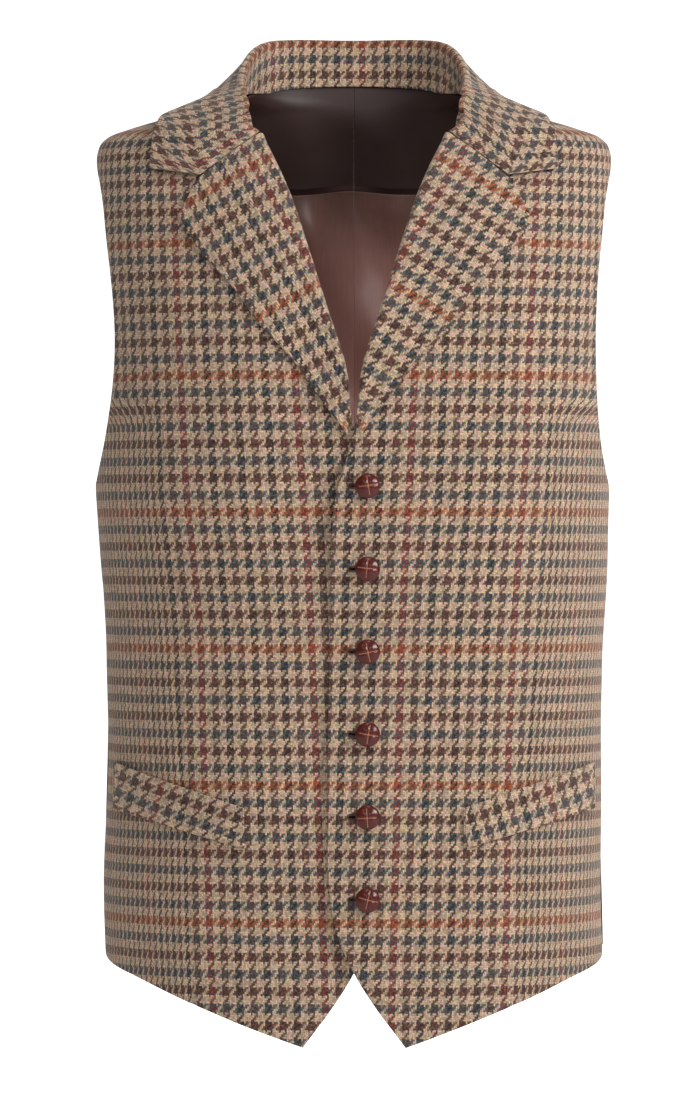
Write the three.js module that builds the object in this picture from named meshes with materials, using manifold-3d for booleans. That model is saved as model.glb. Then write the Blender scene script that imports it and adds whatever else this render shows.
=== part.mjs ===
// A single-breasted tweed waistcoat with a notched collar, built as it is cut and sewn:
// panels of outer cloth, canvas, facing and lining lie one inside the other on one body form.
// Millimetres. The front faces -Y, the wearer's left is +X, +Z is up, and the origin lies
// between the shoulders, at the height where the collar's fall meets them.

import * as THREE from 'three';
import { mergeVertices } from 'three/addons/utils/BufferGeometryUtils.js';
import Module from 'manifold-3d';

const wasm = await Module();
wasm.setup();

// ---------- body form: stations of [height, size] ----------
const SECTION_POWER = 2.4;
const HALF_WIDTH = [[-640, 168.6], [-562, 168.6], [-436, 168], [-365, 168], [-294, 172], [-250, 174.5],
  [-40, 175], [-28, 174.8], [-20, 173], [-14, 167.5], [-8, 152], [0, 125], [10, 93], [14, 81.5],
  [19, 77], [38, 76], [70, 75]];
const FRONT_DEPTH = [[-640, 112], [-562, 112], [-436, 108], [-365, 111], [-294, 116], [-200, 119],
  [-134, 112], [-60, 88], [-20, 62], [14, 36], [70, 32]];
const BACK_DEPTH = [[-640, 112], [-562, 108], [-436, 94], [-365, 97], [-294, 106], [-200, 114],
  [-134, 116], [-60, 103], [-20, 88], [14, 74], [31, 79], [57, 83], [70, 84]];

// ---------- outlines: points of [x, height] on the wearer's left, or [angle, height] ----------
const UNDERARM_Z = -252;
const SIDE_HEM_Z = -562;
const NECK_POINT_Z = 14;
const SHOULDER_TIP_Z = -26;
const FRONT_EDGE = [[34.2, -622], [12.5, -593], [-1.7, -569.6], [-12.5, -543], [-17, -510], [-15.5, -330],
  [-13, -263], [-2, -223], [9.6, -170], [27.5, -115], [44, -64], [64, -17], [71, 3]];
const FRONT_HEM = [[168, -567], [144, -579], [106, -595], [72.5, -608], [34.2, -622]];
const ARMHOLE = [[82, -246], [74.5, -228], [69.8, -200], [67.8, -165], [68.2, -135], [71.5, -90],
  [78, -50]];
const BACK_HEM = [[90, -562], [120, -566], [180, -575]];
const BACK_NECK = [[90, 14], [106, 16.5], [125, 23.5], [148, 28.5], [180, 30.5]];
const ROLL_LINE = [[22, -17], [39, 3], [66, 14], [90, 22], [106, 38], [125, 52], [148, 57], [180, 57.5]];
const LEAF_EDGE = [[50.5, -40], [52, -16], [75, -1.5], [90, 2], [110, 4], [130, 5], [150, 6], [180, 6]];
const LAPEL_ROLL = [[1.6, -205], [9.6, -170], [19.3, -141], [27.5, -115], [44, -64], [54, -40],
  [64, -18.4]];
const LAPEL_EDGE = [[4.6, -218], [24, -192], [41, -168], [61.4, -146], [79.5, -121], [102, -95],
  [116.5, -71]];
const NOTCH = [102, -45.5];
const LEAF_TIP = [135, -40];
const WELT = {
  inner: 72,
  outer: 160,
  innerTop: -464,
  innerBottom: -491,
  outerTop: -436,
  outerBottom: -467,
};
const POCKET_BAG = { bottom: -545, insetInner: 14, insetOuter: 8, below: 8 };
const POCKET_MOUTH = { inset: 6, height: 2, below: 2 };

// ---------- cloth layers, as [inner, outer] distance from the form ----------
const TWEED = [-1.4, 0];
const CANVAS = [-2.4, -1.8];
const FACING = [-3.8, -2.8];
const LINING = [-6.9, -6.3];
const BACK_SATIN = [-0.7, 0];
const YOKE_LINING = [-1.8, -1.2];
const BACK_LINING = [-2.6, -2];
const COLLAR_STAND = [-2.6, 0];
const UNDER_COLLAR = [0, 1];
const TOP_COLLAR = [1.4, 2.8];
const LAPEL = [0, 2.6];
const WELT_LAYER = [0.8, 2.8];
const POCKET_LAYER = [-5.4, -4.5];
const UNDERLAP_DROP = 4.8;

// ---------- how finely the panels are divided; every layer of a panel shares its lines ----------
const FRONT_COLUMNS = 11;
const FRONT_ROWS = 20;
const FACING_COLUMN = 7;
const BACK_COLUMNS = 9;
const BACK_LOWER_ROWS = Array.from({ length: 12 }, (_, k) => 0.84 * k / 11);
const BACK_ALONG = [...BACK_LOWER_ROWS, 0.88, 0.886, 0.91, 0.935, 0.955, 0.972, 0.986, 1];
const YOKE_ROW = 12;

// ---------- buttons ----------
const BUTTON_COUNT = 6;
const BUTTON_X = 8.9;
const BUTTON_TOP_Z = -251.7;
const BUTTON_PITCH = 54.5;
const BUTTON_RADIUS = 8.2;
const SHANK_RADIUS = 2.2;
const THREAD_RADIUS = 0.9;
const SLIT = { from: -8, to: 11.4, height: 3 };

// ---------- back cinch ----------
const CINCH_Z = -430;
const STRAP_WIDTH = 26;
const STRAP_START = 122;
const BUCKLE = { halfWidth: 10, halfHeight: 17, bar: 0.9, lift: 4.4 };

// ---------- materials ----------
const cloth = (color) => new THREE.MeshStandardMaterial({ color, roughness: 0.9, metalness: 0 });
const tweed = cloth('#8a7264');
const canvas = cloth('#b9ad96');
const satin = new THREE.MeshStandardMaterial({ color: '#6c524c', roughness: 0.42, metalness: 0 });
const darkSatin = new THREE.MeshStandardMaterial({ color: '#2c1d1a', roughness: 0.5, metalness: 0 });
const leather = new THREE.MeshStandardMaterial({ color: '#471b15', roughness: 0.35, metalness: 0 });
const thread = cloth('#5a3a2a');
const brass = new THREE.MeshStandardMaterial({ color: '#8c7446', roughness: 0.35, metalness: 0.9 });

// ---------- form ----------
const degrees = THREE.MathUtils.degToRad;
const lerp = THREE.MathUtils.lerp;

/** Smooth value between stations, without overshoot. */
function profile(stations) {
  const slopes = stations.map(([height, value], index) => {
    if (index === 0 || index === stations.length - 1) return 0;
    const before = (value - stations[index - 1][1]) / (height - stations[index - 1][0]);
    const after = (stations[index + 1][1] - value) / (stations[index + 1][0] - height);
    return before * after <= 0 ? 0 : 2 / (1 / before + 1 / after);
  });
  return (height) => {
    let k = stations.findIndex((station) => station[0] >= height);
    k = THREE.MathUtils.clamp(k, 1, stations.length - 1);
    const [low, lowValue] = stations[k - 1];
    const [high, highValue] = stations[k];
    const span = high - low;
    const w = THREE.MathUtils.clamp((height - low) / span, 0, 1);
    return lowValue * (1 + 2 * w) * (1 - w) ** 2 + slopes[k - 1] * span * w * (1 - w) ** 2
      + highValue * w * w * (3 - 2 * w) + slopes[k] * span * w * w * (w - 1);
  };
}

const halfWidth = profile(HALF_WIDTH);
const frontDepth = profile(FRONT_DEPTH);
const backDepth = profile(BACK_DEPTH);
const depthAt = (y, z) => (y < 0 ? frontDepth(z) : backDepth(z));

/** 1 on the form, less inside it. */
function formLevel(p) {
  return (Math.abs(p.x) / halfWidth(p.z)) ** SECTION_POWER
    + (Math.abs(p.y) / depthAt(p.y, p.z)) ** SECTION_POWER;
}

function formGradient(p) {
  const step = 0.05;
  const along = (axis) => {
    const a = p.clone();
    const b = p.clone();
    a[axis] -= step;
    b[axis] += step;
    return (formLevel(b) - formLevel(a)) / (2 * step);
  };
  return new THREE.Vector3(along('x'), along('y'), along('z'));
}

/** Point on the form. Angle 0 is the centre front, 90 the side and 180 the centre back. */
function formPoint(angle, z) {
  const sine = Math.sin(degrees(angle));
  const depth = (1 - Math.abs(sine) ** SECTION_POWER) ** (1 / SECTION_POWER);
  const y = angle <= 90 ? -depth * frontDepth(z) : depth * backDepth(z);
  return new THREE.Vector3(halfWidth(z) * sine, y, z);
}

const angleAt = (x, z) => THREE.MathUtils.radToDeg(Math.asin(THREE.MathUtils.clamp(x / halfWidth(z), -1, 1)));
const onFront = (x, z) => formPoint(angleAt(x, z), z);
const onBack = (x, z) => formPoint(180 - angleAt(x, z), z);

/** Moves a point out along the form's normal until it stands at least `lift` off the form. */
function pushOut(p, lift) {
  const out = p.clone();
  for (let round = 0; round < 4; round += 1) {
    const gradient = formGradient(out);
    const distance = (formLevel(out) - 1) / gradient.length();
    if (distance >= lift) break;
    out.addScaledVector(gradient.normalize(), lift - distance);
  }
  return out;
}

// ---------- outlines and patches ----------
const ANGLE_SCALE = 1.9;
const fromX = ([x, z]) => [angleAt(x, z), z];

/** Curve through [angle, height] points, walked at an even pace. */
function outline(points) {
  const vectors = points.map(([angle, z]) => new THREE.Vector3(angle * ANGLE_SCALE, 0, z));
  const curve = new THREE.CatmullRomCurve3(vectors, false, 'centripetal');
  curve.arcLengthDivisions = 400;
  return (t) => {
    const p = curve.getPointAt(THREE.MathUtils.clamp(t, 0, 1));
    return [p.x / ANGLE_SCALE, p.z];
  };
}

/** Joins outlines end to end into one, each with its share of the run. */
function chain(parts) {
  return (t) => {
    let start = 0;
    for (const [share, curve] of parts) {
      if (t <= start + share || start + share > 0.999) return curve((t - start) / share);
      start += share;
    }
    return null;
  };
}

/**
 * Fills four outlines, given as left(t), right(t), bottom(s) and top(s). Straight rows run from
 * left to right, and bend into the bottom and top outlines only near those edges.
 */
function fill(left, right, bottom, top) {
  const bendNear = 5;
  const bow = (edge, s, k) => edge(s)[k] - lerp(edge(0)[k], edge(1)[k], s);
  return (s, t) => [0, 1].map((k) => lerp(left(t)[k], right(t)[k], s)
    + (1 - t) ** bendNear * bow(bottom, s, k) + t ** bendNear * bow(top, s, k));
}

const SIDE_LIMIT = 0.06;
const side = outline([[90, SIDE_HEM_Z], [90, UNDERARM_Z]]);
const frontArmhole = outline([[90, UNDERARM_Z], ...ARMHOLE, [90, SHOULDER_TIP_Z]]);
const backArmhole = outline([[90, UNDERARM_Z],
  ...ARMHOLE.map(([angle, z]) => [180 - angle, z]), [90, SHOULDER_TIP_Z]]);
const shoulder = outline([[90, SHOULDER_TIP_Z], [90, NECK_POINT_Z]]);
const backNeck = outline(BACK_NECK);

const frontPanel = fill(
  chain([[0.55, side], [0.45, frontArmhole]]),
  outline([...FRONT_EDGE.map(fromX), [90, NECK_POINT_Z]]),
  outline([[90, SIDE_HEM_Z], ...FRONT_HEM.map(fromX)]),
  shoulder,
);
const backPanel = fill(
  chain([[0.55, side], [0.45, backArmhole]]),
  outline([BACK_HEM[2], BACK_NECK[4]]),
  outline(BACK_HEM),
  chain([[5 / 9, shoulder], [4 / 9, backNeck]]),
);

/** A patch of the form: [point, outward normal] at each (s, t). `hand` is 1 or -1. */
function formPatch(map, hand, isFront = true) {
  return (s, t) => {
    const [angle, z] = map(s, t);
    const limited = isFront ? Math.min(angle, 90 - SIDE_LIMIT) : Math.max(angle, 90 + SIDE_LIMIT);
    const point = formPoint(limited, z);
    const normal = formGradient(point).normalize();
    if (hand < 0) {
      point.x *= -1;
      normal.x *= -1;
      if (isFront) point.addScaledVector(normal, -underlap(point.x));
    }
    return [point, normal];
  };
}

/** The wearer's right front passes under the left one, so it dips as it nears the centre. */
function underlap(x) {
  return UNDERLAP_DROP * THREE.MathUtils.smoothstep(x, -75, -22);
}

/** Evenly spaced values: steps `first` to `last` of a run that has `count` steps. */
function steps(count, first = 0, last = count) {
  return Array.from({ length: last - first + 1 }, (_, k) => (first + k) / count);
}

// ---------- solids ----------
function signedVolume(positions, triangles) {
  const at = (i) => new THREE.Vector3(positions[3 * i], positions[3 * i + 1], positions[3 * i + 2]);
  let volume = 0;
  for (let k = 0; k < triangles.length; k += 3) {
    volume += at(triangles[k]).dot(at(triangles[k + 1]).cross(at(triangles[k + 2])));
  }
  return volume;
}

/** A closed sheet of cloth with thickness, between two distances from a patch. */
function sheet(patch, across, along, [inner, outer]) {
  const columns = across.length - 1;
  const rows = along.length - 1;
  const positions = [];
  for (const distance of [inner, outer]) {
    for (const t of along) {
      for (const s of across) {
        const [point, normal] = patch(s, t);
        positions.push(...point.clone().addScaledVector(normal, distance).toArray());
      }
    }
  }
  const layer = (columns + 1) * (rows + 1);
  const index = (i, j, top) => i + j * (columns + 1) + top * layer;
  const triangles = [];
  const quad = (a, b, c, d) => triangles.push(a, b, c, a, c, d);
  for (let j = 0; j < rows; j += 1) {
    for (let i = 0; i < columns; i += 1) {
      quad(index(i, j, 1), index(i + 1, j, 1), index(i + 1, j + 1, 1), index(i, j + 1, 1));
      quad(index(i, j, 0), index(i, j + 1, 0), index(i + 1, j + 1, 0), index(i + 1, j, 0));
    }
  }
  for (let i = 0; i < columns; i += 1) {
    quad(index(i, 0, 0), index(i + 1, 0, 0), index(i + 1, 0, 1), index(i, 0, 1));
    quad(index(i, rows, 1), index(i + 1, rows, 1), index(i + 1, rows, 0), index(i, rows, 0));
  }
  for (let j = 0; j < rows; j += 1) {
    quad(index(0, j, 1), index(0, j + 1, 1), index(0, j + 1, 0), index(0, j, 0));
    quad(index(columns, j, 0), index(columns, j + 1, 0), index(columns, j + 1, 1), index(columns, j, 1));
  }
  if (signedVolume(positions, triangles) < 0) triangles.reverse();
  const geometry = new THREE.BufferGeometry();
  geometry.setAttribute('position', new THREE.Float32BufferAttribute(positions, 3));
  geometry.setIndex(triangles);
  return geometry;
}

function toManifold(geometry) {
  const bare = geometry.clone();
  bare.deleteAttribute('normal');
  bare.deleteAttribute('uv');
  const merged = mergeVertices(bare, 1e-4);
  return new wasm.Manifold(new wasm.Mesh({
    numProp: 3,
    vertProperties: new Float32Array(merged.attributes.position.array),
    triVerts: new Uint32Array(merged.index.array),
  }));
}

function cut(geometry, ...tools) {
  let solid = toManifold(geometry);
  for (const tool of tools) solid = solid.subtract(toManifold(tool));
  const mesh = solid.getMesh();
  const result = new THREE.BufferGeometry();
  result.setAttribute('position', new THREE.Float32BufferAttribute(mesh.vertProperties, 3));
  result.setIndex(Array.from(mesh.triVerts));
  return result;
}

const garment = new THREE.Group();

function add(name, geometry, material) {
  const mesh = new THREE.Mesh(geometry, material);
  mesh.name = name;
  garment.add(mesh);
  return mesh;
}

// ---------- buttonholes ----------
const buttonHeights = Array.from({ length: BUTTON_COUNT }, (_, k) => BUTTON_TOP_Z - k * BUTTON_PITCH);

/** A round-ended slot through the cloth, cut along Y. */
function slitCutter(z) {
  const radius = SLIT.height / 2;
  const shape = new THREE.Shape();
  shape.absarc(SLIT.to - radius, 0, radius, -Math.PI / 2, Math.PI / 2, false);
  shape.absarc(SLIT.from + radius, 0, radius, Math.PI / 2, 1.5 * Math.PI, false);
  const geometry = new THREE.ExtrudeGeometry(shape, { depth: 12, bevelEnabled: false, curveSegments: 4 });
  geometry.rotateX(Math.PI / 2);
  geometry.translate(0, onFront(BUTTON_X, z).y + 8, z);
  return geometry;
}

/** The mouth of a pocket, behind its welt. */
function mouthCutter(hand) {
  const length = WELT.outer - WELT.inner - 2 * POCKET_MOUTH.inset;
  const rise = (WELT.outerTop + WELT.outerBottom - WELT.innerTop - WELT.innerBottom) / 2;
  const geometry = new THREE.BoxGeometry(length, 90, POCKET_MOUTH.height);
  geometry.rotateY(-Math.atan2(rise, WELT.outer - WELT.inner));
  const middleX = (WELT.outer + WELT.inner) / 2;
  const middleZ = (WELT.outerTop + WELT.outerBottom + WELT.innerTop + WELT.innerBottom) / 4;
  geometry.translate(middleX, -75, middleZ - POCKET_MOUTH.below);
  if (hand < 0) geometry.scale(-1, 1, 1);
  if (hand < 0) geometry.index.array.reverse();
  return geometry;
}

// ---------- fronts ----------
for (const [handName, hand] of [['left', 1], ['right', -1]]) {
  const patch = formPatch(frontPanel, hand);
  const slits = hand > 0 ? buttonHeights.map(slitCutter) : [];
  const outer = sheet(patch, steps(FRONT_COLUMNS), steps(FRONT_ROWS), TWEED);
  add(`front_${handName}_outer`, cut(outer, mouthCutter(hand), ...slits), tweed);

  const chest = steps(FRONT_COLUMNS, 3, FRONT_COLUMNS - 1);
  const interlining = sheet(patch, chest, steps(FRONT_ROWS, 1, FRONT_ROWS - 1), CANVAS);
  add(`front_${handName}_canvas`, cut(interlining, mouthCutter(hand), ...slits), canvas);

  const edge = steps(FRONT_COLUMNS, FACING_COLUMN);
  const facing = sheet(patch, edge, steps(FRONT_ROWS), FACING);
  add(`front_${handName}_facing`, slits.length ? cut(facing, ...slits) : facing, tweed);

  const body = steps(FRONT_COLUMNS, 0, FACING_COLUMN);
  add(`front_${handName}_lining`, sheet(patch, body, steps(FRONT_ROWS, 1), LINING), satin);

  const pocketMap = (s, t) => fromX([
    lerp(WELT.inner + POCKET_BAG.insetInner, WELT.outer - POCKET_BAG.insetOuter, s),
    lerp(POCKET_BAG.bottom, lerp(WELT.innerTop, WELT.outerTop, s) - POCKET_BAG.below, t)]);
  add(`pocket_bag_${handName}`, sheet(formPatch(pocketMap, hand), steps(5), steps(5), POCKET_LAYER), satin);

  const weltMap = (s, t) => fromX([
    lerp(WELT.inner, WELT.outer, s),
    lerp(lerp(WELT.innerBottom, WELT.outerBottom, s), lerp(WELT.innerTop, WELT.outerTop, s), t)]);
  add(`welt_${handName}`, sheet(formPatch(weltMap, hand), steps(8), steps(2), WELT_LAYER), tweed);
}

// ---------- lapels ----------
const GORGE_GAP = 1.2;
const gorgeEnd = [NOTCH[0], NOTCH[1] - GORGE_GAP];
const gorge = chain([
  [0.75, outline([LAPEL_ROLL[6], gorgeEnd].map(fromX))],
  [0.25, outline([gorgeEnd, LAPEL_EDGE[6]].map(fromX))],
]);
const lapelMap = fill(
  outline(LAPEL_ROLL.map(fromX)),
  outline(LAPEL_EDGE.map(fromX)),
  outline([LAPEL_ROLL[0], LAPEL_EDGE[0]].map(fromX)),
  gorge,
);

/** The lapel springs off the front at the roll line and lies close at its edge. */
function lapelPatch(hand) {
  const base = formPatch(lapelMap, hand);
  return (s, t) => {
    const [point, normal] = base(s, t);
    const spring = 0.9 + 2.4 * (1 - s) ** 2;
    return [point.clone().addScaledVector(normal, spring), normal];
  };
}
add('lapel_left', sheet(lapelPatch(1), steps(5), steps(11), LAPEL), tweed);
add('lapel_right', sheet(lapelPatch(-1), steps(5), steps(11), LAPEL), tweed);

// ---------- back ----------
const CENTRE_SEAM = 0.9996;

for (const [handName, hand] of [['left', 1], ['right', -1]]) {
  const patch = formPatch((s, t) => backPanel(s * CENTRE_SEAM, t), hand, false);
  const across = steps(BACK_COLUMNS);
  add(`back_${handName}_outer`, sheet(patch, across, BACK_ALONG, BACK_SATIN), satin);
  const below = BACK_ALONG.slice(1, YOKE_ROW + 1);
  add(`back_${handName}_lining`, sheet(patch, across, below, BACK_LINING), satin);
  const yoke = BACK_ALONG.slice(YOKE_ROW + 1);
  add(`back_${handName}_yoke_lining`, sheet(patch, across.slice(1), yoke, YOKE_LINING), darkSatin);
}

// ---------- collar ----------
const rollLine = outline(ROLL_LINE);
const leafEdge = outline(LEAF_EDGE);
const neckHeight = profile(BACK_NECK);
const rollHeight = profile(ROLL_LINE);
const STAND_START = 82;

/** Runs from the left end of the collar (u = 0) round the back to the right end (u = 1). */
function bothSides(half) {
  return (u, v) => {
    const isLeft = u <= 0.5;
    const point = half(isLeft ? 2 * u : 2 - 2 * u, v);
    if (!isLeft) point.x *= -1;
    return point;
  };
}

function standHalf(u, v) {
  const angle = THREE.MathUtils.lerp(STAND_START, 180, u);
  const low = neckHeight(Math.max(angle, 90)) + 2.2;
  const high = rollHeight(angle) - 0.6;
  return formPoint(angle, THREE.MathUtils.lerp(low, Math.max(high, low + 1.5), v));
}

const ROLL_LIFT = 1.6;
const EDGE_LIFT = 1.5;
const bentFront = (v) => {
  const turn = 0.55;
  const [a, b] = v < turn ? [[64, -16.6], NOTCH] : [NOTCH, LEAF_TIP];
  const w = v < turn ? v / turn : (v - turn) / (1 - turn);
  const x = THREE.MathUtils.lerp(a[0], b[0], w);
  return pushOut(onFront(x, THREE.MathUtils.lerp(a[1], b[1], w)), ROLL_LIFT);
};

function leafHalf(u, v) {
  const roll = pushOut(formPoint(...rollLine(u)), ROLL_LIFT);
  const edge = pushOut(formPoint(...leafEdge(u)), EDGE_LIFT);
  const backRoll = pushOut(formPoint(...rollLine(1)), ROLL_LIFT);
  const backEdge = pushOut(formPoint(...leafEdge(1)), EDGE_LIFT);
  const frontLine = bentFront(v).sub(bentFront(0).lerp(bentFront(1), v)).multiplyScalar((1 - u) ** 6);
  const backLine = backRoll.lerp(backEdge, v);
  const straight = roll.lerp(edge, v);
  const bulge = 3 * Math.sin(Math.PI * v) * THREE.MathUtils.smoothstep(u, 0.15, 0.5);
  const point = straight.add(frontLine).lerp(backLine, u > 0.9999 ? 1 : 0);
  return pushOut(point, ROLL_LIFT).addScaledVector(formGradient(point).normalize(), bulge);
}

/** Adds surface normals to a free surface by small steps along it. */
function withNormals(surface, faceAway) {
  const step = 0.004;
  return (u, v) => {
    const du = surface(Math.min(u + step, 1), v).sub(surface(Math.max(u - step, 0), v));
    const dv = surface(u, Math.min(v + step, 1)).sub(surface(u, Math.max(v - step, 0)));
    const normal = du.cross(dv).normalize();
    const point = surface(u, v);
    if (normal.dot(faceAway(point)) < 0) normal.negate();
    return [point, normal];
  };
}

const collarStand = withNormals(bothSides(standHalf), formGradient);
const collarLeaf = withNormals(bothSides(leafHalf), formGradient);
add('collar_stand', sheet(collarStand, steps(20), steps(2), COLLAR_STAND), tweed);
add('under_collar', sheet(collarLeaf, steps(24), steps(5), UNDER_COLLAR), tweed);
add('top_collar', sheet(collarLeaf, steps(24), steps(5), TOP_COLLAR), tweed);

// ---------- buttons ----------
/** A turned solid whose profile runs along its axis, which then points to the front. */
function turned(profilePoints, segments) {
  const points = profilePoints.map(([radius, height]) => new THREE.Vector2(radius, height));
  const geometry = new THREE.LatheGeometry(points, segments);
  geometry.rotateX(Math.PI);
  return geometry;
}

const BUTTON_STANDOFF = 1.6;
const BASE_THICKNESS = 0.9;
const DOME = [[0, 0], [6.9, 0], [7.6, 0.1], [BUTTON_RADIUS, 0.9], [8.1, 1.7], [7.2, 2.7], [5.6, 3.6],
  [3.4, 4.3], [1.5, 4.6], [0, 4.7]];
const BASE = [[0, 0], [SHANK_RADIUS, 0], [SHANK_RADIUS, 0.8], [6.2, 1], [6.4, 0.8 + BASE_THICKNESS],
  [0, 0.8 + BASE_THICKNESS]];

buttonHeights.forEach((z, k) => {
  const face = onFront(BUTTON_X, z).y;
  const number = k + 1;
  const thick = 0.8 + BASE_THICKNESS + 0.3;
  const cap = add(`button_${number}_cap`, turned(DOME, 14), leather);
  cap.position.set(BUTTON_X, face - BUTTON_STANDOFF - thick, z);
  const base = add(`button_${number}_shank`, turned(BASE, 10), leather);
  base.position.set(BUTTON_X, face - BUTTON_STANDOFF, z);
  const threadLength = UNDERLAP_DROP + BUTTON_STANDOFF - 0.9;
  const stalk = add(`button_${number}_thread`,
    turned([[0, 0], [THREAD_RADIUS, 0], [THREAD_RADIUS, threadLength], [0, threadLength]], 6), thread);
  stalk.position.set(BUTTON_X, face + UNDERLAP_DROP - 0.5, z);
});

// ---------- back cinch: two straps, a sliding buckle with a toothed flap, and a keeper ----------
const strapRows = [-0.5, 0.5].map((k) => CINCH_Z + k * STRAP_WIDTH);

/** A strap along the back at the cinch height, its distance from the back given by [x, lift]. */
function strap(liftStations) {
  const lift = profile(liftStations);
  const from = liftStations[0][0];
  const to = liftStations[liftStations.length - 1][0];
  return (s, t) => {
    const x = lerp(from, to, s);
    const point = onBack(x, lerp(strapRows[0], strapRows[1], t));
    const normal = formGradient(point).normalize();
    return [point.addScaledVector(normal, lift(x)), normal];
  };
}
const STRAP_LAYER = [0, 0.9];
const LEFT_LIFT = [[13.4, 4], [30, 1.6], [60, 1.6], [STRAP_START, 1.2]];
const RIGHT_LIFT = [[-STRAP_START, 1.2], [-60, 0.9], [-7, 0.8], [5.4, 7.3], [14, 7.5], [30, 3.5],
  [62, 3.4]];
add('cinch_strap_left', sheet(strap(LEFT_LIFT), steps(16), steps(1), STRAP_LAYER), satin);
add('cinch_strap_right', sheet(strap(RIGHT_LIFT), steps(44), steps(1), STRAP_LAYER), satin);

function roundedRectangle(shape, halfX, halfY, radius) {
  shape.moveTo(halfX, halfY - radius);
  shape.absarc(halfX - radius, halfY - radius, radius, 0, Math.PI / 2, false);
  shape.absarc(radius - halfX, halfY - radius, radius, Math.PI / 2, Math.PI, false);
  shape.absarc(radius - halfX, radius - halfY, radius, Math.PI, 1.5 * Math.PI, false);
  shape.absarc(halfX - radius, radius - halfY, radius, 1.5 * Math.PI, 2 * Math.PI, false);
  return shape;
}

/** A flat frame with a window, `depth` thick, centred on its own origin in Z. */
function frameGeometry(halfX, halfY, wall, radius, depth) {
  const shape = roundedRectangle(new THREE.Shape(), halfX, halfY, radius);
  const innerRadius = Math.max(radius - wall, 0.3);
  shape.holes.push(roundedRectangle(new THREE.Path(), halfX - wall, halfY - wall, innerRadius));
  const geometry = new THREE.ExtrudeGeometry(shape, { depth, bevelEnabled: false, curveSegments: 3 });
  geometry.translate(0, 0, -depth / 2);
  return geometry;
}

/** A sleeve round a bar, its bore along Z. */
function sleeveGeometry(halfLength) {
  const profilePoints = [[1.6, -1], [2.3, -1], [2.3, 1], [1.6, 1], [1.6, -1]];
  const points = profilePoints.map(([radius, end]) => new THREE.Vector2(radius, end * halfLength));
  const geometry = new THREE.LatheGeometry(points, 14);
  geometry.rotateX(Math.PI / 2);
  return geometry;
}

const cinchY = onBack(0, CINCH_Z).y;
const buckleY = cinchY + BUCKLE.lift;
const frameSolid = frameGeometry(BUCKLE.halfWidth + BUCKLE.bar, BUCKLE.halfHeight + BUCKLE.bar,
  2 * BUCKLE.bar, 2.5, 2 * BUCKLE.bar);
frameSolid.rotateX(Math.PI / 2);
add('buckle_frame', frameSolid, brass).position.set(0, buckleY, CINCH_Z);
add('buckle_sleeve', sleeveGeometry(12), satin).position.set(BUCKLE.halfWidth, buckleY, CINCH_Z);

const plate = new THREE.BoxGeometry(7.6, 0.8, 22);
plate.translate(1.4 + 3.8, 1.45, 0);
const flapSolid = toManifold(sleeveGeometry(11)).add(toManifold(plate)).getMesh();
const flap = new THREE.BufferGeometry();
flap.setAttribute('position', new THREE.Float32BufferAttribute(flapSolid.vertProperties, 3));
flap.setIndex(Array.from(flapSolid.triVerts));
add('buckle_flap', flap, brass).position.set(-BUCKLE.halfWidth, buckleY, CINCH_Z);

const KEEPER_X = 40;
const keeper = frameGeometry(2.7, STRAP_WIDTH / 2 + 2.2, 0.6, 0.8, 4);
keeper.rotateY(Math.PI / 2);
keeper.rotateX(Math.PI / 2);
const keeperFoot = onBack(KEEPER_X, CINCH_Z);
const keeperMesh = add('cinch_keeper', keeper, satin);
keeperMesh.position.copy(keeperFoot).addScaledVector(formGradient(keeperFoot).normalize(), 3.6);
keeperMesh.rotation.z = Math.atan2(keeperFoot.y - cinchY, KEEPER_X);

export default garment;
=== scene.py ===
# %% [markdown]
# # A tweed waistcoat
# A waistcoat is layers of flat cloth shaped by seams: an outer shell of tweed, a stiff canvas, a
# facing along the front edge, and a satin lining and back. Every layer here is a sheet built on one
# body form, so the layers fit inside each other as they do in the tailor's hands. The first cell
# loads the fixed frame of engineering solids that every piece has to agree with.

# %% Load the frame
import math

import bmesh
import bpy
import numpy as np
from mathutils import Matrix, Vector

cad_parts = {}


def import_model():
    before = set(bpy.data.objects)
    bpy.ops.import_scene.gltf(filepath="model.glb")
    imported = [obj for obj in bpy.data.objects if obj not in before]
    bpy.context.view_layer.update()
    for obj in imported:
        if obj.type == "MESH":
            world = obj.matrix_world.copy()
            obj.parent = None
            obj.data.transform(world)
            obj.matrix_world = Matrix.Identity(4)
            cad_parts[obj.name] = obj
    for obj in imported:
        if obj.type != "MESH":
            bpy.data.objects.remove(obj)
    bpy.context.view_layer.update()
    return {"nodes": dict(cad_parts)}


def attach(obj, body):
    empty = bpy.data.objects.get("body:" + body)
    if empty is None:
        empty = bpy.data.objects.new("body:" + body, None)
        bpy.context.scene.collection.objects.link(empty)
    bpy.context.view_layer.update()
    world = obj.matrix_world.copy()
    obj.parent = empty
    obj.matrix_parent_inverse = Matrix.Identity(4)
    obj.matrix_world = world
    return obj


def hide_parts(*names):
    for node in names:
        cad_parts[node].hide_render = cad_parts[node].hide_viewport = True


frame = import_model()
MM = 0.001

# %% [markdown]
# ## Short ways to write shaders
# A shader is a graph of nodes, and a graph typed by hand is long. These helpers add a node with its
# inputs already joined, so that the recipes further down read like formulas. Colours are given as
# the familiar 0 to 255 values and turned into the linear ones that light is added up in.

# %% Shader helpers


def srgb(red, green, blue):
    """Linear colour from the usual 0 to 255 values."""
    def linear(c):
        c /= 255
        return c / 12.92 if c <= 0.04045 else ((c + 0.055) / 1.055) ** 2.4
    return (linear(red), linear(green), linear(blue), 1.0)


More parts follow.
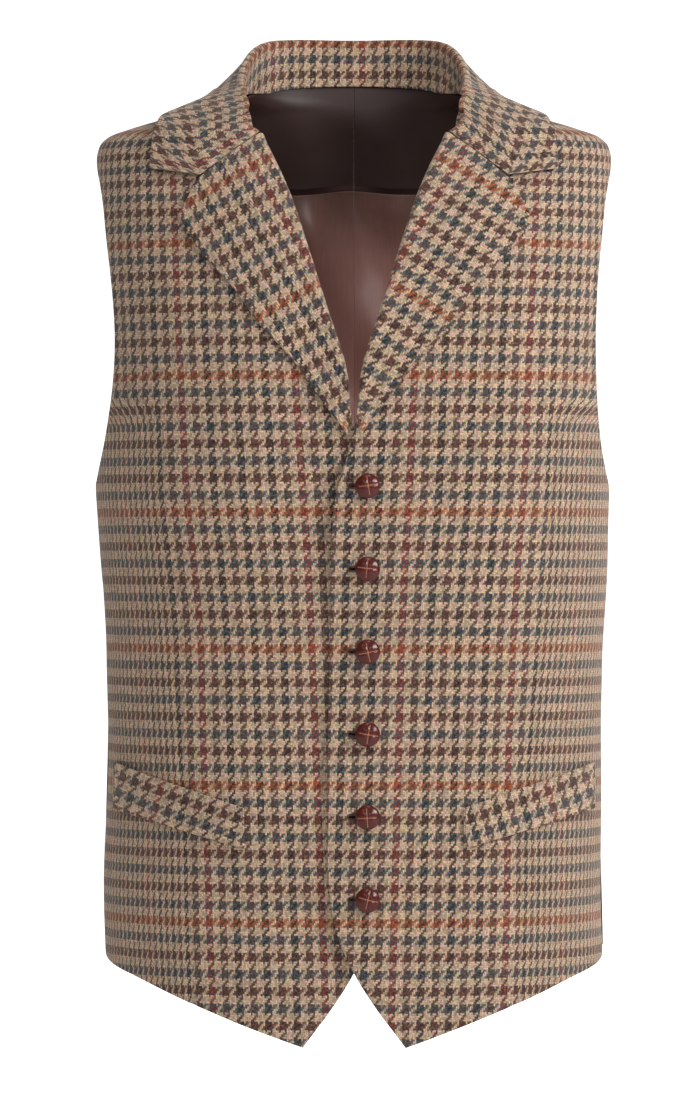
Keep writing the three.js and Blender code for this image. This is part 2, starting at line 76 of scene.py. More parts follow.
class Graph:
    """A short way to add nodes and join them."""

    def __init__(self, tree):
        self.tree = tree

    def node(self, kind, inputs=None, **settings):
        node = self.tree.nodes.new(kind)
        for name, value in settings.items():
            setattr(node, name, value)
        for name, value in (inputs or {}).items():
            if isinstance(value, bpy.types.NodeSocket):
                self.tree.links.new(value, node.inputs[name])
            else:
                node.inputs[name].default_value = value
        return node

    def math(self, operation, a, b=0.0, c=0.0):
        return self.node("ShaderNodeMath", {0: a, 1: b, 2: c}, operation=operation).outputs[0]

    def mix(self, factor, a, b, blend="MIX"):
        node = self.node("ShaderNodeMix", {0: factor, 6: a, 7: b}, data_type="RGBA", blend_type=blend)
        return node.outputs[2]

    def noise(self, vector, scale, detail=2.0, roughness=0.5):
        return self.node("ShaderNodeTexNoise", {"Vector": vector, "Scale": scale, "Detail": detail,
                                                "Roughness": roughness}).outputs["Fac"]

    def steps(self, factor, colours):
        """A different colour in each equal part of 0 to 1."""
        ramp = self.node("ShaderNodeValToRGB", {0: factor})
        ramp.color_ramp.interpolation = "CONSTANT"
        elements = ramp.color_ramp.elements
        elements[0].color = colours[0]
        elements[1].position = 1 / len(colours)
        elements[1].color = colours[1]
        for k, colour in enumerate(colours[2:], 2):
            elements.new(k / len(colours)).color = colour
        return ramp.outputs[0]


def new_group(name, inputs, outputs):
    group = bpy.data.node_groups.new(name, "ShaderNodeTree")
    for title, kind, value in inputs:
        socket = group.interface.new_socket(title, in_out="INPUT", socket_type=kind)
        if value is not None:
            socket.default_value = value
    for title, kind in outputs:
        group.interface.new_socket(title, in_out="OUTPUT", socket_type=kind)
    graph = Graph(group)
    start = group.nodes.new("NodeGroupInput")
    end = group.nodes.new("NodeGroupOutput")
    return group, graph, start.outputs, end


print("shader helpers ready")

# %% [markdown]
# ## Camera, light and floor
# A long lens from three and a half metres keeps the rows of the check nearly parallel. The light is
# soft and comes from many sides, a little stronger from the right, so the nap of the wool shows
# without hard shadows. The floor sweeps up into a pale wall. Floor and wall also glow, though they
# are no lamp: dimly in front and to the left, brightly behind and to the right, which adds light from the
# right.

# %% Camera and studio
CAMERA_DISTANCE = 3.5
VIEW_HEIGHT = 0.7453
VIEW_CENTRE = (-0.0027, -0.2924)
SENSOR = 36.0

camera_data = bpy.data.cameras.new("studio_camera")
camera_data.sensor_width = SENSOR
camera_data.lens = SENSOR * CAMERA_DISTANCE / VIEW_HEIGHT
camera_data.clip_end = 50
camera = bpy.data.objects.new("studio_camera", camera_data)
camera.location = (VIEW_CENTRE[0], -CAMERA_DISTANCE, VIEW_CENTRE[1])
camera.rotation_euler = (math.pi / 2, 0, 0)
bpy.context.collection.objects.link(camera)
bpy.context.scene.camera = camera


def area_light(name, place, target, size, watts):
    """A square soft box that looks at a point."""
    data = bpy.data.lights.new(name, "AREA")
    data.size = size
    data.energy = watts
    light = bpy.data.objects.new(name, data)
    light.location = place
    light.rotation_euler = (Vector(target) - Vector(place)).to_track_quat("-Z", "Y").to_euler()
    light.visible_camera = False
    bpy.context.collection.objects.link(light)
    return light


CHEST = (0, 0, -0.3)
area_light("key_box", (1.55, -1.15, 0.65), CHEST, 0.7, 30)
area_light("fill_box", (-1.3, -2.8, 1.6), CHEST, 0.7, 8)
area_light("front_box", (0.2, -3.3, 0.7), CHEST, 0.5, 12)
area_light("top_box", (0.1, -1.0, 2.2), CHEST, 0.8, 12)
area_light("back_box", (-0.9, 2.8, 1.0), CHEST, 1.6, 30)

world = bpy.data.worlds.new("studio_world")
world.use_nodes = True
world.node_tree.nodes["Background"].inputs["Color"].default_value = (1, 1, 1, 1)
world.node_tree.nodes["Background"].inputs["Strength"].default_value = 0.18
bpy.context.scene.world = world
bpy.context.scene.view_settings.view_transform = "Standard"


def floor_sweep():
    """A floor that curves up into a wall behind the piece, and glows more behind and to the right."""
    floor_z, wall_y, radius, half = -0.76, 9.5, 2.5, 16.0
    line = [(-16.0, floor_z), (wall_y - radius, floor_z)]
    for k in range(1, 13):
        turn = k / 12 * math.pi / 2
        line.append((wall_y - radius + radius * math.sin(turn), floor_z + radius * (1 - math.cos(turn))))
    line.append((wall_y, 12.0))
    points = [(x, y, z) for y, z in line for x in (-half, half)]
    faces = [(2 * k, 2 * k + 1, 2 * k + 3, 2 * k + 2) for k in range(len(line) - 1)]
    data = bpy.data.meshes.new("floor_sweep")
    data.from_pydata(points, [], faces)
    data.polygons.foreach_set("use_smooth", [True] * len(faces))
    sweep = bpy.data.objects.new("floor_sweep", data)
    bpy.context.collection.objects.link(sweep)
    paint = bpy.data.materials.new("floor_paint_and_glow")
    paint.use_nodes = True
    shader = paint.node_tree.nodes["Principled BSDF"]
    shader.inputs["Base Color"].default_value = (0.93, 0.93, 0.93, 1)
    shader.inputs["Roughness"].default_value = 0.95
    g = Graph(paint.node_tree)
    # Painted light: the floor and wall glow though they are no lamp, from 0.14 in front and to the left up to
    # 0.8 behind and to the right.
    place = g.node("ShaderNodeSeparateXYZ", {0: g.node("ShaderNodeTexCoord").outputs["Object"]})
    to_right = g.node("ShaderNodeMapRange", {0: place.outputs[0], 1: -2.2, 2: -0.8}).outputs[0]
    behind = g.node("ShaderNodeMapRange", {0: place.outputs[1], 1: 0.0, 2: 1.0}).outputs[0]
    glow = g.math("MULTIPLY_ADD", g.math("MULTIPLY", to_right, behind), 0.66, 0.14)
    grey = g.node("ShaderNodeCombineColor", {0: glow, 1: glow, 2: glow}).outputs[0]
    g.tree.links.new(grey, shader.inputs["Emission Color"])
    shader.inputs["Emission Strength"].default_value = 1.0
    data.materials.append(paint)


floor_sweep()
print("camera lens", round(camera_data.lens, 1))

# %% [markdown]
# ## The body form
# Cloth that is worn takes the body's shape, so one form underlies every panel. It is a stack of
# rounded sections: each height has a half width, a front depth and a back depth, and a power above
# two squares the section slightly, as a chest is squarer than an ellipse. The stations are the few
# heights where the figure changes, with a smooth curve between them.

# %% The form as stacked sections
SECTION_POWER = 2.4
HALF_WIDTH = [(-640, 168.6), (-562, 168.6), (-436, 168), (-365, 168), (-294, 172), (-250, 174.5),
              (-40, 175), (-28, 174.8), (-20, 173), (-14, 167.5), (-8, 152), (0, 125), (10, 93),
              (14, 81.5), (19, 77), (38, 76), (70, 75)]
FRONT_DEPTH = [(-640, 112), (-562, 112), (-436, 108), (-365, 111), (-294, 116), (-200, 119),
               (-134, 112), (-60, 88), (-20, 62), (14, 36), (70, 32)]
BACK_DEPTH = [(-640, 112), (-562, 108), (-436, 94), (-365, 97), (-294, 106), (-200, 114),
              (-134, 116), (-60, 103), (-20, 88), (14, 74), (31, 79), (57, 83), (70, 84)]


def profile(stations):
    """Smooth value between stations, without overshoot, for arrays of any shape."""
    places = np.array([p for p, _ in stations], float)
    values = np.array([v for _, v in stations], float)
    steps = np.diff(values) / np.diff(places)
    slopes = np.zeros(len(places))
    for k in range(1, len(places) - 1):
        if steps[k - 1] * steps[k] > 0:
            slopes[k] = 2 / (1 / steps[k - 1] + 1 / steps[k])

    def value(place):
        place = np.asarray(place, float)
        k = np.clip(np.searchsorted(places, place), 1, len(places) - 1)
        span = places[k] - places[k - 1]
        w = np.clip((place - places[k - 1]) / span, 0, 1)
        return (values[k - 1] * (1 + 2 * w) * (1 - w) ** 2 + slopes[k - 1] * span * w * (1 - w) ** 2
                + values[k] * w * w * (3 - 2 * w) + slopes[k] * span * w * w * (w - 1))

    return value


half_width = profile(HALF_WIDTH)
front_depth = profile(FRONT_DEPTH)
back_depth = profile(BACK_DEPTH)


def form_level(p):
    """1 on the form and less inside it."""
    depth = np.where(p[..., 1] < 0, front_depth(p[..., 2]), back_depth(p[..., 2]))
    return (np.abs(p[..., 0]) / half_width(p[..., 2])) ** SECTION_POWER + (
        np.abs(p[..., 1]) / depth) ** SECTION_POWER


def form_gradient(p):
    """The direction in which the form's level grows, which is straight out of the cloth."""
    step = 0.05
    gradient = np.empty_like(p)
    for axis in range(3):
        shift = np.zeros(3)
        shift[axis] = step
        gradient[..., axis] = (form_level(p + shift) - form_level(p - shift)) / (2 * step)
    return gradient


def unit(v):
    return v / np.maximum(np.linalg.norm(v, axis=-1, keepdims=True), 1e-12)


def form_point(angle, z):
    """A point on the form. Angle 0 is the centre front, 90 the side and 180 the centre back."""
    angle, z = np.broadcast_arrays(np.asarray(angle, float), np.asarray(z, float))
    sine = np.sin(np.radians(angle))
    depth = np.maximum(1 - np.abs(sine) ** SECTION_POWER, 0) ** (1 / SECTION_POWER)
    y = np.where(angle <= 90, -depth * front_depth(z), depth * back_depth(z))
    return np.stack([half_width(z) * sine, y, z], -1)


def angle_at(x, z):
    return np.degrees(np.arcsin(np.clip(np.asarray(x, float) / half_width(z), -1, 1)))


def push_out(p, lift):
    """Moves points out along the form's normal until they stand at least `lift` off it."""
    for _ in range(4):
        gradient = form_gradient(p)
        length = np.linalg.norm(gradient, axis=-1)
        short = np.maximum(lift - (form_level(p) - 1) / length, 0)
        p = p + unit(gradient) * short[..., None]
    return p


print("chest section", round(float(half_width(-200)) * 2), "by",
      round(float(front_depth(-200) + back_depth(-200))), "mm")

# %% [markdown]
# ## Pattern pieces
# A tailor draws a panel by its four edges. Each outline below is a smooth line through a few points,
# given as an angle round the body and a height, and a panel is the cloth between four such lines.
# The rows run straight from edge to edge and bend into the hem and the shoulder only near them,
# which keeps the mesh even and free of folds.

# %% Outlines and panels
ANGLE_SCALE = 1.9
UNDERARM_Z, SIDE_HEM_Z, NECK_POINT_Z, SHOULDER_TIP_Z = -252, -562, 14, -26
FRONT_EDGE = [(34.2, -622), (12.5, -593), (-1.7, -569.6), (-12.5, -543), (-17, -510), (-15.5, -330),
              (-13, -263), (-2, -223), (9.6, -170), (27.5, -115), (44, -64), (64, -17), (71, 3)]
FRONT_HEM = [(168, -567), (144, -579), (106, -595), (72.5, -608), (34.2, -622)]
ARMHOLE = [(82, -246), (74.5, -228), (69.8, -200), (67.8, -165), (68.2, -135), (71.5, -90), (78, -50)]
BACK_HEM = [(90, -562), (120, -566), (180, -575)]
BACK_NECK = [(90, 14), (106, 16.5), (125, 23.5), (148, 28.5), (180, 30.5)]
ROLL_LINE = [(22, -17), (39, 3), (66, 14), (90, 22), (106, 38), (125, 52), (148, 57), (180, 57.5)]
LEAF_EDGE = [(50.5, -40), (52, -16), (75, -1.5), (90, 2), (110, 4), (130, 5), (150, 6), (180, 6)]
LAPEL_ROLL = [(1.6, -205), (9.6, -170), (19.3, -141), (27.5, -115), (44, -64), (54, -40), (64, -18.4)]
LAPEL_EDGE = [(4.6, -218), (24, -192), (41, -168), (61.4, -146), (79.5, -121), (102, -95), (116.5, -71)]
NOTCH = (102, -45.5)
LEAF_TIP = (135, -40)
GORGE_GAP = 1.2
BEND_NEAR = 5


def from_x(points):
    return [(float(angle_at(x, z)), z) for x, z in points]


def outline(points):
    """A smooth line through [angle, height] points, walked at an even pace from 0 to 1."""
    knots = np.array([(a * ANGLE_SCALE, z) for a, z in points], float)
    padded = np.vstack([2 * knots[0] - knots[1], knots, 2 * knots[-1] - knots[-2]])
    line = []
    for k in range(len(knots) - 1):
        p0, p1, p2, p3 = padded[k:k + 4]
        t1 = np.linalg.norm(p1 - p0) ** 0.5
        t2 = t1 + np.linalg.norm(p2 - p1) ** 0.5
        t3 = t2 + np.linalg.norm(p3 - p2) ** 0.5
        for t in np.linspace(t1, t2, 24, endpoint=False):
            a1 = (t1 - t) / t1 * p0 + t / t1 * p1
            a2 = (t2 - t) / (t2 - t1) * p1 + (t - t1) / (t2 - t1) * p2
            a3 = (t3 - t) / (t3 - t2) * p2 + (t - t2) / (t3 - t2) * p3
            b1 = (t2 - t) / t2 * a1 + t / t2 * a2
            b2 = (t3 - t) / (t3 - t1) * a2 + (t - t1) / (t3 - t1) * a3
            line.append((t2 - t) / (t2 - t1) * b1 + (t - t1) / (t2 - t1) * b2)
    line = np.array(line + [knots[-1]])
    run = np.concatenate([[0], np.cumsum(np.linalg.norm(np.diff(line, axis=0), axis=1))])
    run /= run[-1]
    return lambda t: np.stack([np.interp(t, run, line[:, 0]) / ANGLE_SCALE,
                               np.interp(t, run, line[:, 1])], -1)


def chain(*parts):
    """Joins outlines end to end, each with its share of the run."""
    def walk(t):
        t = np.asarray(t, float)
        result = np.zeros(t.shape + (2,))
        start = 0.0
        for share, curve in parts:
            inside = (t >= start) if start > 0 else (t >= -1)
            result = np.where(inside[..., None], curve(np.clip((t - start) / share, 0, 1)), result)
            start += share
        return result
    return walk


def fill(left, right, bottom, top):
    """The panel between four outlines, as a map from (s, t) to [angle, height]."""
    def bow(edge, s):
        ends = edge(np.array([0.0, 1.0]))
        return edge(s) - (ends[0] * (1 - s[..., None]) + ends[1] * s[..., None])

    def panel(s, t):
        w = s[..., None]
        return (left(t) * (1 - w) + right(t) * w + ((1 - t) ** BEND_NEAR)[..., None] * bow(bottom, s)
                + (t ** BEND_NEAR)[..., None] * bow(top, s))
    return panel


side_seam = outline([(90, SIDE_HEM_Z), (90, UNDERARM_Z)])
shoulder_seam = outline([(90, SHOULDER_TIP_Z), (90, NECK_POINT_Z)])
front_armhole = outline([(90, UNDERARM_Z)] + ARMHOLE + [(90, SHOULDER_TIP_Z)])
back_armhole = outline([(90, UNDERARM_Z)] + [(180 - a, z) for a, z in ARMHOLE] + [(90, SHOULDER_TIP_Z)])
front_panel = fill(
    chain((0.55, side_seam), (0.45, front_armhole)),
    outline(from_x(FRONT_EDGE) + [(90, NECK_POINT_Z)]),
    outline([(90, SIDE_HEM_Z)] + from_x(FRONT_HEM)),
    shoulder_seam)
back_panel = fill(
    chain((0.55, side_seam), (0.45, back_armhole)),
    outline([BACK_HEM[2], BACK_NECK[4]]),
    outline(BACK_HEM),
    chain((5 / 9, shoulder_seam), (4 / 9, outline(BACK_NECK))))
gorge_end = (NOTCH[0], NOTCH[1] - GORGE_GAP)
lapel_panel = fill(
    outline(from_x(LAPEL_ROLL)),
    outline(from_x(LAPEL_EDGE)),
    outline(from_x([LAPEL_ROLL[0], LAPEL_EDGE[0]])),
    chain((0.75, outline(from_x([LAPEL_ROLL[6], gorge_end]))),
          (0.25, outline(from_x([gorge_end, LAPEL_EDGE[6]])))))
print("pattern pieces drawn: front, back, lapel")

# %% [markdown]
# ## From a pattern piece to worn cloth
# The right front passes under the left one where they button, so it dips towards the centre. Real
# cloth is also never as smooth as a form: wool ripples softly, and the satin back is drawn into
# folds by its buckle. Both are added as small moves along the cloth's own normal, the same for all
# the layers of a panel, so that no layer comes through another.

# %% Placing cloth on the form
SEAM_ANGLE = 0.015
UNDERLAP_DROP = 4.8
CINCH_Z = -430


def smooth(x, low, high):
    w = np.clip((x - low) / (high - low), 0, 1)
    return w * w * (3 - 2 * w)


def underlap(x):
    return UNDERLAP_DROP * smooth(x, -75, -22)


def front_ripple(p, hand):
    """Soft waves in the wool, in millimetres."""
    x, z = np.abs(p[..., 0]), p[..., 2]
    wave = 0.9 * np.sin(z / 41 + x / 57 + hand) + 0.65 * np.sin(z / 23 - x / 31 + 2.1 * hand)
    dart = -1.3 * np.exp(-((x - np.interp(z, [-600, -486, -293, -207], [107, 109, 128, 130])) / 2.2) ** 2)
    return wave * smooth(z, -40, -110) + dart * smooth(z, -190, -230)


def back_ripple(p, hand):
    """Folds that fan out from the buckled strap, in millimetres."""
    x, z = np.abs(p[..., 0]), p[..., 2]
    drawn = np.exp(-((z - CINCH_Z) / 60) ** 2) * smooth(x, 128, 60)
    fan = np.sin((x + 0.25 * (z - CINCH_Z)) / 3.4)
    wave = 0.9 * np.sin(z / 37 + x / 45 + hand)
    return -1.1 * drawn * (1 + fan) + wave * smooth(z, -10, -90) * smooth(x, 4, 25)


def lining_waves(p, hand):
    """How far the loose lining of the back falls away inwards, in millimetres."""
    x, z = p[..., 0], p[..., 2]
    slack = smooth(z, 22, -12) * smooth(np.abs(x), 168, 120)
    below = smooth(z, -30, -75) * smooth(z, -330, -230)
    fold = 1.9 * (1 + np.sin(x / 9.5 + z / 70 + 0.6 * np.sin(z / 25)))
    drape = 5.0 * (1 + np.sin(x / 17 + z / 23 + 0.8 * np.sin(x / 29 + 1)))
    return slack * (fold * (1 - 0.3 * below) + drape * below)


def panel_patch(panel, hand, is_front=True, rippled=True):
    """A map from (s, t) to points and outward normals of the worn cloth."""
    def patch(s, t):
        angle, z = np.moveaxis(panel(s, t), -1, 0)
        if is_front:
            angle = np.minimum(angle, 90 - SEAM_ANGLE)
        else:
            angle = np.maximum(angle, 90 + SEAM_ANGLE)
        p = form_point(angle, z)
        n = unit(form_gradient(p))
        if rippled:
            p = p + n * (front_ripple if is_front else back_ripple)(p, hand)[..., None]
        if hand < 0:
            p, n = p * (-1, 1, 1), n * (-1, 1, 1)
            if is_front:
                p = p - n * underlap(p[..., 0])[..., None]
        return p, n
    return patch


print("underlap", UNDERLAP_DROP, "mm")

# %% [markdown]
# ## Sheets with rounded edges
# A cut edge of a card is square, but folded cloth has a soft round edge. Each sheet is two skins
# that share their border, and the skins part over half the cloth's thickness along a quarter circle.
# Extra rows close to the border carry that curve. The cloth's own coordinates go into a UV map,
# counted in threads, so the weave keeps its scale on every piece.

# %% The sheet builder
END_PITCH = 1.206
PICK_PITCH = 1.413
EDGE_STEPS = (0.08, 0.3, 0.7, 1.3)


def spread_lines(count, length, first=0.0, last=1.0):
    """Even steps from first to last, with a few more close to both ends, for a piece `length` mm long."""
    near = [step / length for step in EDGE_STEPS]
    inner = np.linspace(first, last, count + 1)
    low = [first + k for k in near]
    high = [last - k for k in near]
    middle = [v for v in inner[1:-1] if low[-1] < v < high[-1]]
    return np.array([first] + low + middle + high[::-1] + [last])


def run_along(points, axis):
    gap = np.linalg.norm(np.diff(points, axis=axis), axis=-1)
    start = np.zeros_like(np.take(gap, [0], axis))
    return np.concatenate([start, np.cumsum(gap, axis)], axis)


def sheet_mesh(name, points, normals, thickness, threads):
    """A closed sheet round a grid of middle points. `threads` is the cloth's own coordinates."""
    rows, columns = points.shape[:2]
    across, along = run_along(points, 1), run_along(points, 0)
    edge = np.minimum.reduce([across, across[:, -1:] - across, along, along[-1:] - along])
    half = thickness / 2
    swell = np.sqrt(1 - (1 - np.clip(edge / half, 0, 1)) ** 2)
    offset = normals * (half * swell)[..., None]
    outer = (points + offset).reshape(-1, 3)
    inner = (points - offset).reshape(-1, 3)
    number = np.arange(rows * columns).reshape(rows, columns)
    border = np.zeros((rows, columns), bool)
    border[[0, -1]] = True
    border[:, [0, -1]] = True
    under = np.where(border, number, 0)
    under[~border] = rows * columns + np.arange((~border).sum())
    verts = np.vstack([outer, inner[~border.ravel()]]) * MM
    top = np.stack([number[:-1, :-1], number[:-1, 1:], number[1:, 1:], number[1:, :-1]], -1)
    bottom = np.stack([under[:-1, :-1], under[1:, :-1], under[1:, 1:], under[:-1, 1:]], -1)
    top, bottom = top.reshape(-1, 4), bottom.reshape(-1, 4)
    centre = (rows // 2, columns // 2)
    turn = np.cross(points[centre[0], centre[1] + 1] - points[centre],
                    points[centre[0] + 1, centre[1]] - points[centre])
    if turn @ normals[centre] < 0:
        top, bottom = top[:, ::-1], bottom[:, ::-1]
    faces = np.vstack([top, bottom])
    data = bpy.data.meshes.new(name)
    data.vertices.add(len(verts))
    data.vertices.foreach_set("co", verts.ravel())
    data.loops.add(faces.size)
    data.loops.foreach_set("vertex_index", faces.ravel())
    data.polygons.add(len(faces))
    data.polygons.foreach_set("loop_start", np.arange(0, faces.size, 4))
    data.polygons.foreach_set("use_smooth", np.ones(len(faces), bool))
    cloth = threads.reshape(-1, 2)
    uv = np.vstack([cloth, cloth[~border.ravel()]])
    layer = data.uv_layers.new(name="threads")
    layer.data.foreach_set("uv", uv[faces.ravel()].ravel())
    data.update(calc_edges=True)
    data.validate()
    piece = bpy.data.objects.new(name, data)
    bpy.context.collection.objects.link(piece)
    width, length = across[:, -1].max() * MM, along[-1].max() * MM
    cells = np.linalg.norm(np.cross(points[1:, 1:] - points[:-1, :-1], points[1:, :-1] - points[:-1, 1:]),
                           axis=-1).sum() / 2 * MM * MM
    print(f"{name}: cut from {width:.3f} by {length:.3f} m, {len(faces) * 2} triangles")
    return piece, (width, length), cells


def dress(piece, material, nodes, body="garment"):
    """Gives a piece its finish and its body, and hides the frame solids that it stands for."""
    piece.data.materials.append(material)
    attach(piece, body)
    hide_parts(*nodes)
    return piece


def finish_cloth(piece, material, nodes):
    """Dresses a sheet."""
    dress(piece, material, nodes)
    return piece


print("thread pitch", END_PITCH, "by", PICK_PITCH, "mm")

# %% [markdown]
# ## The tweed
# The cloth is a houndstooth: four dark and four light threads in turn, both ways, in a two-and-two
# twill. The little broken checks are not drawn. They appear by themselves when the shader asks, at
# each crossing, whether the warp or the weft thread lies on top. The dark groups follow a colour
# order: rust red, brown and charcoal along the warp, and orange, slate blue and brown along the
# weft. One node group holds the weave and hands on a colour and a height.

# %% Tweed
LIGHT_YARN = srgb(211, 182, 154)
BROWN_YARN = srgb(88, 54, 48)
CHARCOAL_YARN = srgb(36, 28, 32)
SLATE_YARN = srgb(60, 80, 88)
RED_YARN = srgb(124, 36, 38)
ORANGE_YARN = srgb(160, 82, 42)
WARP_ORDER = [RED_YARN, BROWN_YARN, CHARCOAL_YARN, BROWN_YARN] + [CHARCOAL_YARN, BROWN_YARN] * 2
WEFT_ORDER = [ORANGE_YARN, SLATE_YARN, BROWN_YARN, SLATE_YARN] + [BROWN_YARN, SLATE_YARN] * 2
GROUP_THREADS = 4


def build_weave():
    group, g, given, end = new_group(
        "houndstooth_weave",
        [("Threads", "NodeSocketVector", None), ("Irregularity", "NodeSocketFloat", 0.5),
         ("Heather", "NodeSocketFloat", 0.5)],
        [("Color", "NodeSocketColor"), ("Height", "NodeSocketFloat")])
    threads = given["Threads"]
    wander = g.node("ShaderNodeTexNoise", {"Vector": threads, "Scale": 0.5, "Detail": 5.0, "Roughness": 0.85})
    centred = g.node("ShaderNodeVectorMath", {0: wander.outputs["Color"], 1: (0.5, 0.5, 0.5)},
                     operation="SUBTRACT").outputs[0]
    scaled = g.node("ShaderNodeVectorMath", {0: centred, "Scale": given["Irregularity"]},
                    operation="SCALE").outputs[0]
    moved = g.node("ShaderNodeVectorMath", {0: threads, 1: scaled}, operation="ADD").outputs[0]
    place = g.node("ShaderNodeSeparateXYZ", {0: moved})
    x = g.math("ADD", place.outputs[0], GROUP_THREADS / 2)
    y = g.math("ADD", place.outputs[1], GROUP_THREADS / 2)
    repeat = 2 * GROUP_THREADS

    def yarn(along, order):
        is_dark = g.math("LESS_THAN", g.math("FLOORED_MODULO", along, float(repeat)), float(GROUP_THREADS))
        turn = g.math("FLOORED_MODULO", g.math("DIVIDE", along, float(repeat)), float(len(order)))
        dark = g.steps(g.math("DIVIDE", turn, float(len(order))), order)
        return g.mix(is_dark, LIGHT_YARN, dark)

    warp, weft = yarn(x, WARP_ORDER), yarn(y, WEFT_ORDER)
    shift = g.math("SUBTRACT", g.math("FLOOR", x), g.math("FLOOR", y))
    warp_up = g.math("LESS_THAN", g.math("FLOORED_MODULO", shift, 4.0), 2.0)
    colour = g.mix(g.math("MULTIPLY_ADD", warp_up, 0.82, 0.09), weft, warp)

    def crown(along):
        inside = g.math("SUBTRACT", g.math("FRACT", along), 0.5)
        return g.math("SUBTRACT", 1.0, g.math("MULTIPLY", g.math("MULTIPLY", inside, inside), 4.0))

    height_x, height_y = crown(x), crown(y)
    height = g.math("ADD", g.math("MULTIPLY", warp_up, height_x),
                    g.math("MULTIPLY", g.math("SUBTRACT", 1.0, warp_up), height_y))
    cell = g.node("ShaderNodeCombineXYZ", {0: g.math("FLOOR", x), 1: g.math("FLOOR", y)}).outputs[0]
    dice = g.node("ShaderNodeTexWhiteNoise", {"Vector": cell}, noise_dimensions="2D")
    chance = dice.outputs["Value"]
    colour = g.mix(g.math("MULTIPLY", given["Heather"], 0.3), colour, dice.outputs["Color"], "SOFT_LIGHT")
    uneven = g.math("MULTIPLY_ADD", g.math("MULTIPLY", chance, given["Heather"]), 0.62, 0.54)
    # Painted shade: the colour darkens towards each yarn's edges, as in the gaps between threads; each
    # crossing also gets its own random tone.
    shade = g.math("MULTIPLY", g.math("MULTIPLY_ADD", height, 0.55, 0.56), uneven)
    shaded = g.mix(1.0, colour, g.node("ShaderNodeCombineColor", {0: shade, 1: shade, 2: shade}).outputs[0],
                   "MULTIPLY")
    fleck = g.noise(threads, 0.8, 4.0, 0.8)
    pale = g.math("MULTIPLY", g.node("ShaderNodeMapRange", {0: fleck, 1: 0.52, 2: 0.72}).outputs[0],
                  given["Heather"])
    heathered = g.mix(g.math("MULTIPLY", pale, 0.5), shaded, LIGHT_YARN)
    dark_fleck = g.node("ShaderNodeMapRange", {0: fleck, 1: 0.46, 2: 0.3}).outputs[0]
    dark_share = g.math("MULTIPLY", g.math("MULTIPLY", dark_fleck, given["Heather"]), 0.5)
    final = g.mix(dark_share, heathered, BROWN_YARN)
    g.tree.links.new(final, end.inputs["Color"])
    g.tree.links.new(height, end.inputs["Height"])
    return group


weave_group = build_weave()


def tweed_material(name, offset=(0.0, 0.0)):
    """The wool cloth. `offset` slides the check over the piece, in threads."""
    material = bpy.data.materials.new(name)
    material.use_nodes = True
    g = Graph(material.node_tree)
    shader = material.node_tree.nodes["Principled BSDF"]
    uv = g.node("ShaderNodeUVMap", uv_map="threads").outputs[0]
    slid = g.node("ShaderNodeMapping", {"Vector": uv, "Location": (offset[0], offset[1], 0)}).outputs[0]
    weave = g.node("ShaderNodeGroup", node_tree=weave_group)
    g.tree.links.new(slid, weave.inputs["Threads"])
    weave.inputs["Irregularity"].default_value = 2.3
    weave.inputs["Heather"].default_value = 0.9
    fibre = g.noise(slid, 5.0, 4.0, 0.7)
    height = g.math("MULTIPLY_ADD", fibre, 0.9, weave.outputs["Height"])
    bump = g.node("ShaderNodeBump", {"Strength": 0.55, "Distance": 0.0006, "Height": height})
    g.tree.links.new(weave.outputs["Color"], shader.inputs["Base Color"])
    g.tree.links.new(bump.outputs[0], shader.inputs["Normal"])
    shader.inputs["Roughness"].default_value = 0.92
    shader.inputs["Specular IOR Level"].default_value = 0.25
    shader.inputs["Sheen Weight"].default_value = 0.25
    shader.inputs["Sheen Roughness"].default_value = 0.5
    shader.inputs["Sheen Tint"].default_value = (1.0, 0.9, 0.8, 1)
    return material


tweed = tweed_material("houndstooth_tweed")
print("tweed nodes", len(weave_group.nodes))

# %% [markdown]
# ## Satin, canvas and thread
# Satin floats its warp threads over many wefts, so it shines in a band and shows only a fine rib.
# A small group makes that rib and a slow change of shade, and the lining, the dark yoke and the
# back each use it with their own colour. The lining is darkened towards its top as painted shade
# inside the neck, and the yoke's near-black is partly its cloth and partly painted shade there.
# Canvas is a plain open weave that nobody sees when worn.

# %% Other cloths


def build_fine_weave():
    group, g, given, end = new_group(
        "fine_weave",
        [("Threads", "NodeSocketVector", None), ("Color", "NodeSocketColor", (0.5, 0.5, 0.5, 1)),
         ("Fineness", "NodeSocketFloat", 3.0), ("Slub", "NodeSocketFloat", 0.3)],
        [("Color", "NodeSocketColor"), ("Height", "NodeSocketFloat")])
    fine = g.node("ShaderNodeVectorMath", {0: given["Threads"], "Scale": given["Fineness"]},
                  operation="SCALE").outputs[0]
    place = g.node("ShaderNodeSeparateXYZ", {0: fine})
    turn = 2 * math.pi
    rib = g.math("SINE", g.math("MULTIPLY", g.math("ADD", place.outputs[0],
                                                  g.math("MULTIPLY", place.outputs[1], 0.35)), turn))
    pick = g.math("SINE", g.math("MULTIPLY", place.outputs[1], turn))
    height = g.math("MULTIPLY_ADD", rib, 0.35, g.math("MULTIPLY_ADD", pick, 0.15, 0.5))
    stretched = g.node("ShaderNodeMapping", {"Vector": given["Threads"], "Scale": (1.2, 0.06, 1)}).outputs[0]
    streak = g.math("SUBTRACT", g.noise(stretched, 1.0, 3.0), 0.5)
    cloud = g.math("SUBTRACT", g.noise(given["Threads"], 0.03, 2.0), 0.5)
    shade = g.math("ADD", 1.0, g.math("MULTIPLY", g.math("ADD", streak, cloud), given["Slub"]))
    tone = g.node("ShaderNodeCombineColor", {0: shade, 1: shade, 2: shade}).outputs[0]
    g.tree.links.new(g.mix(1.0, given["Color"], tone, "MULTIPLY"), end.inputs["Color"])
    g.tree.links.new(height, end.inputs["Height"])
    return group


fine_weave_group = build_fine_weave()


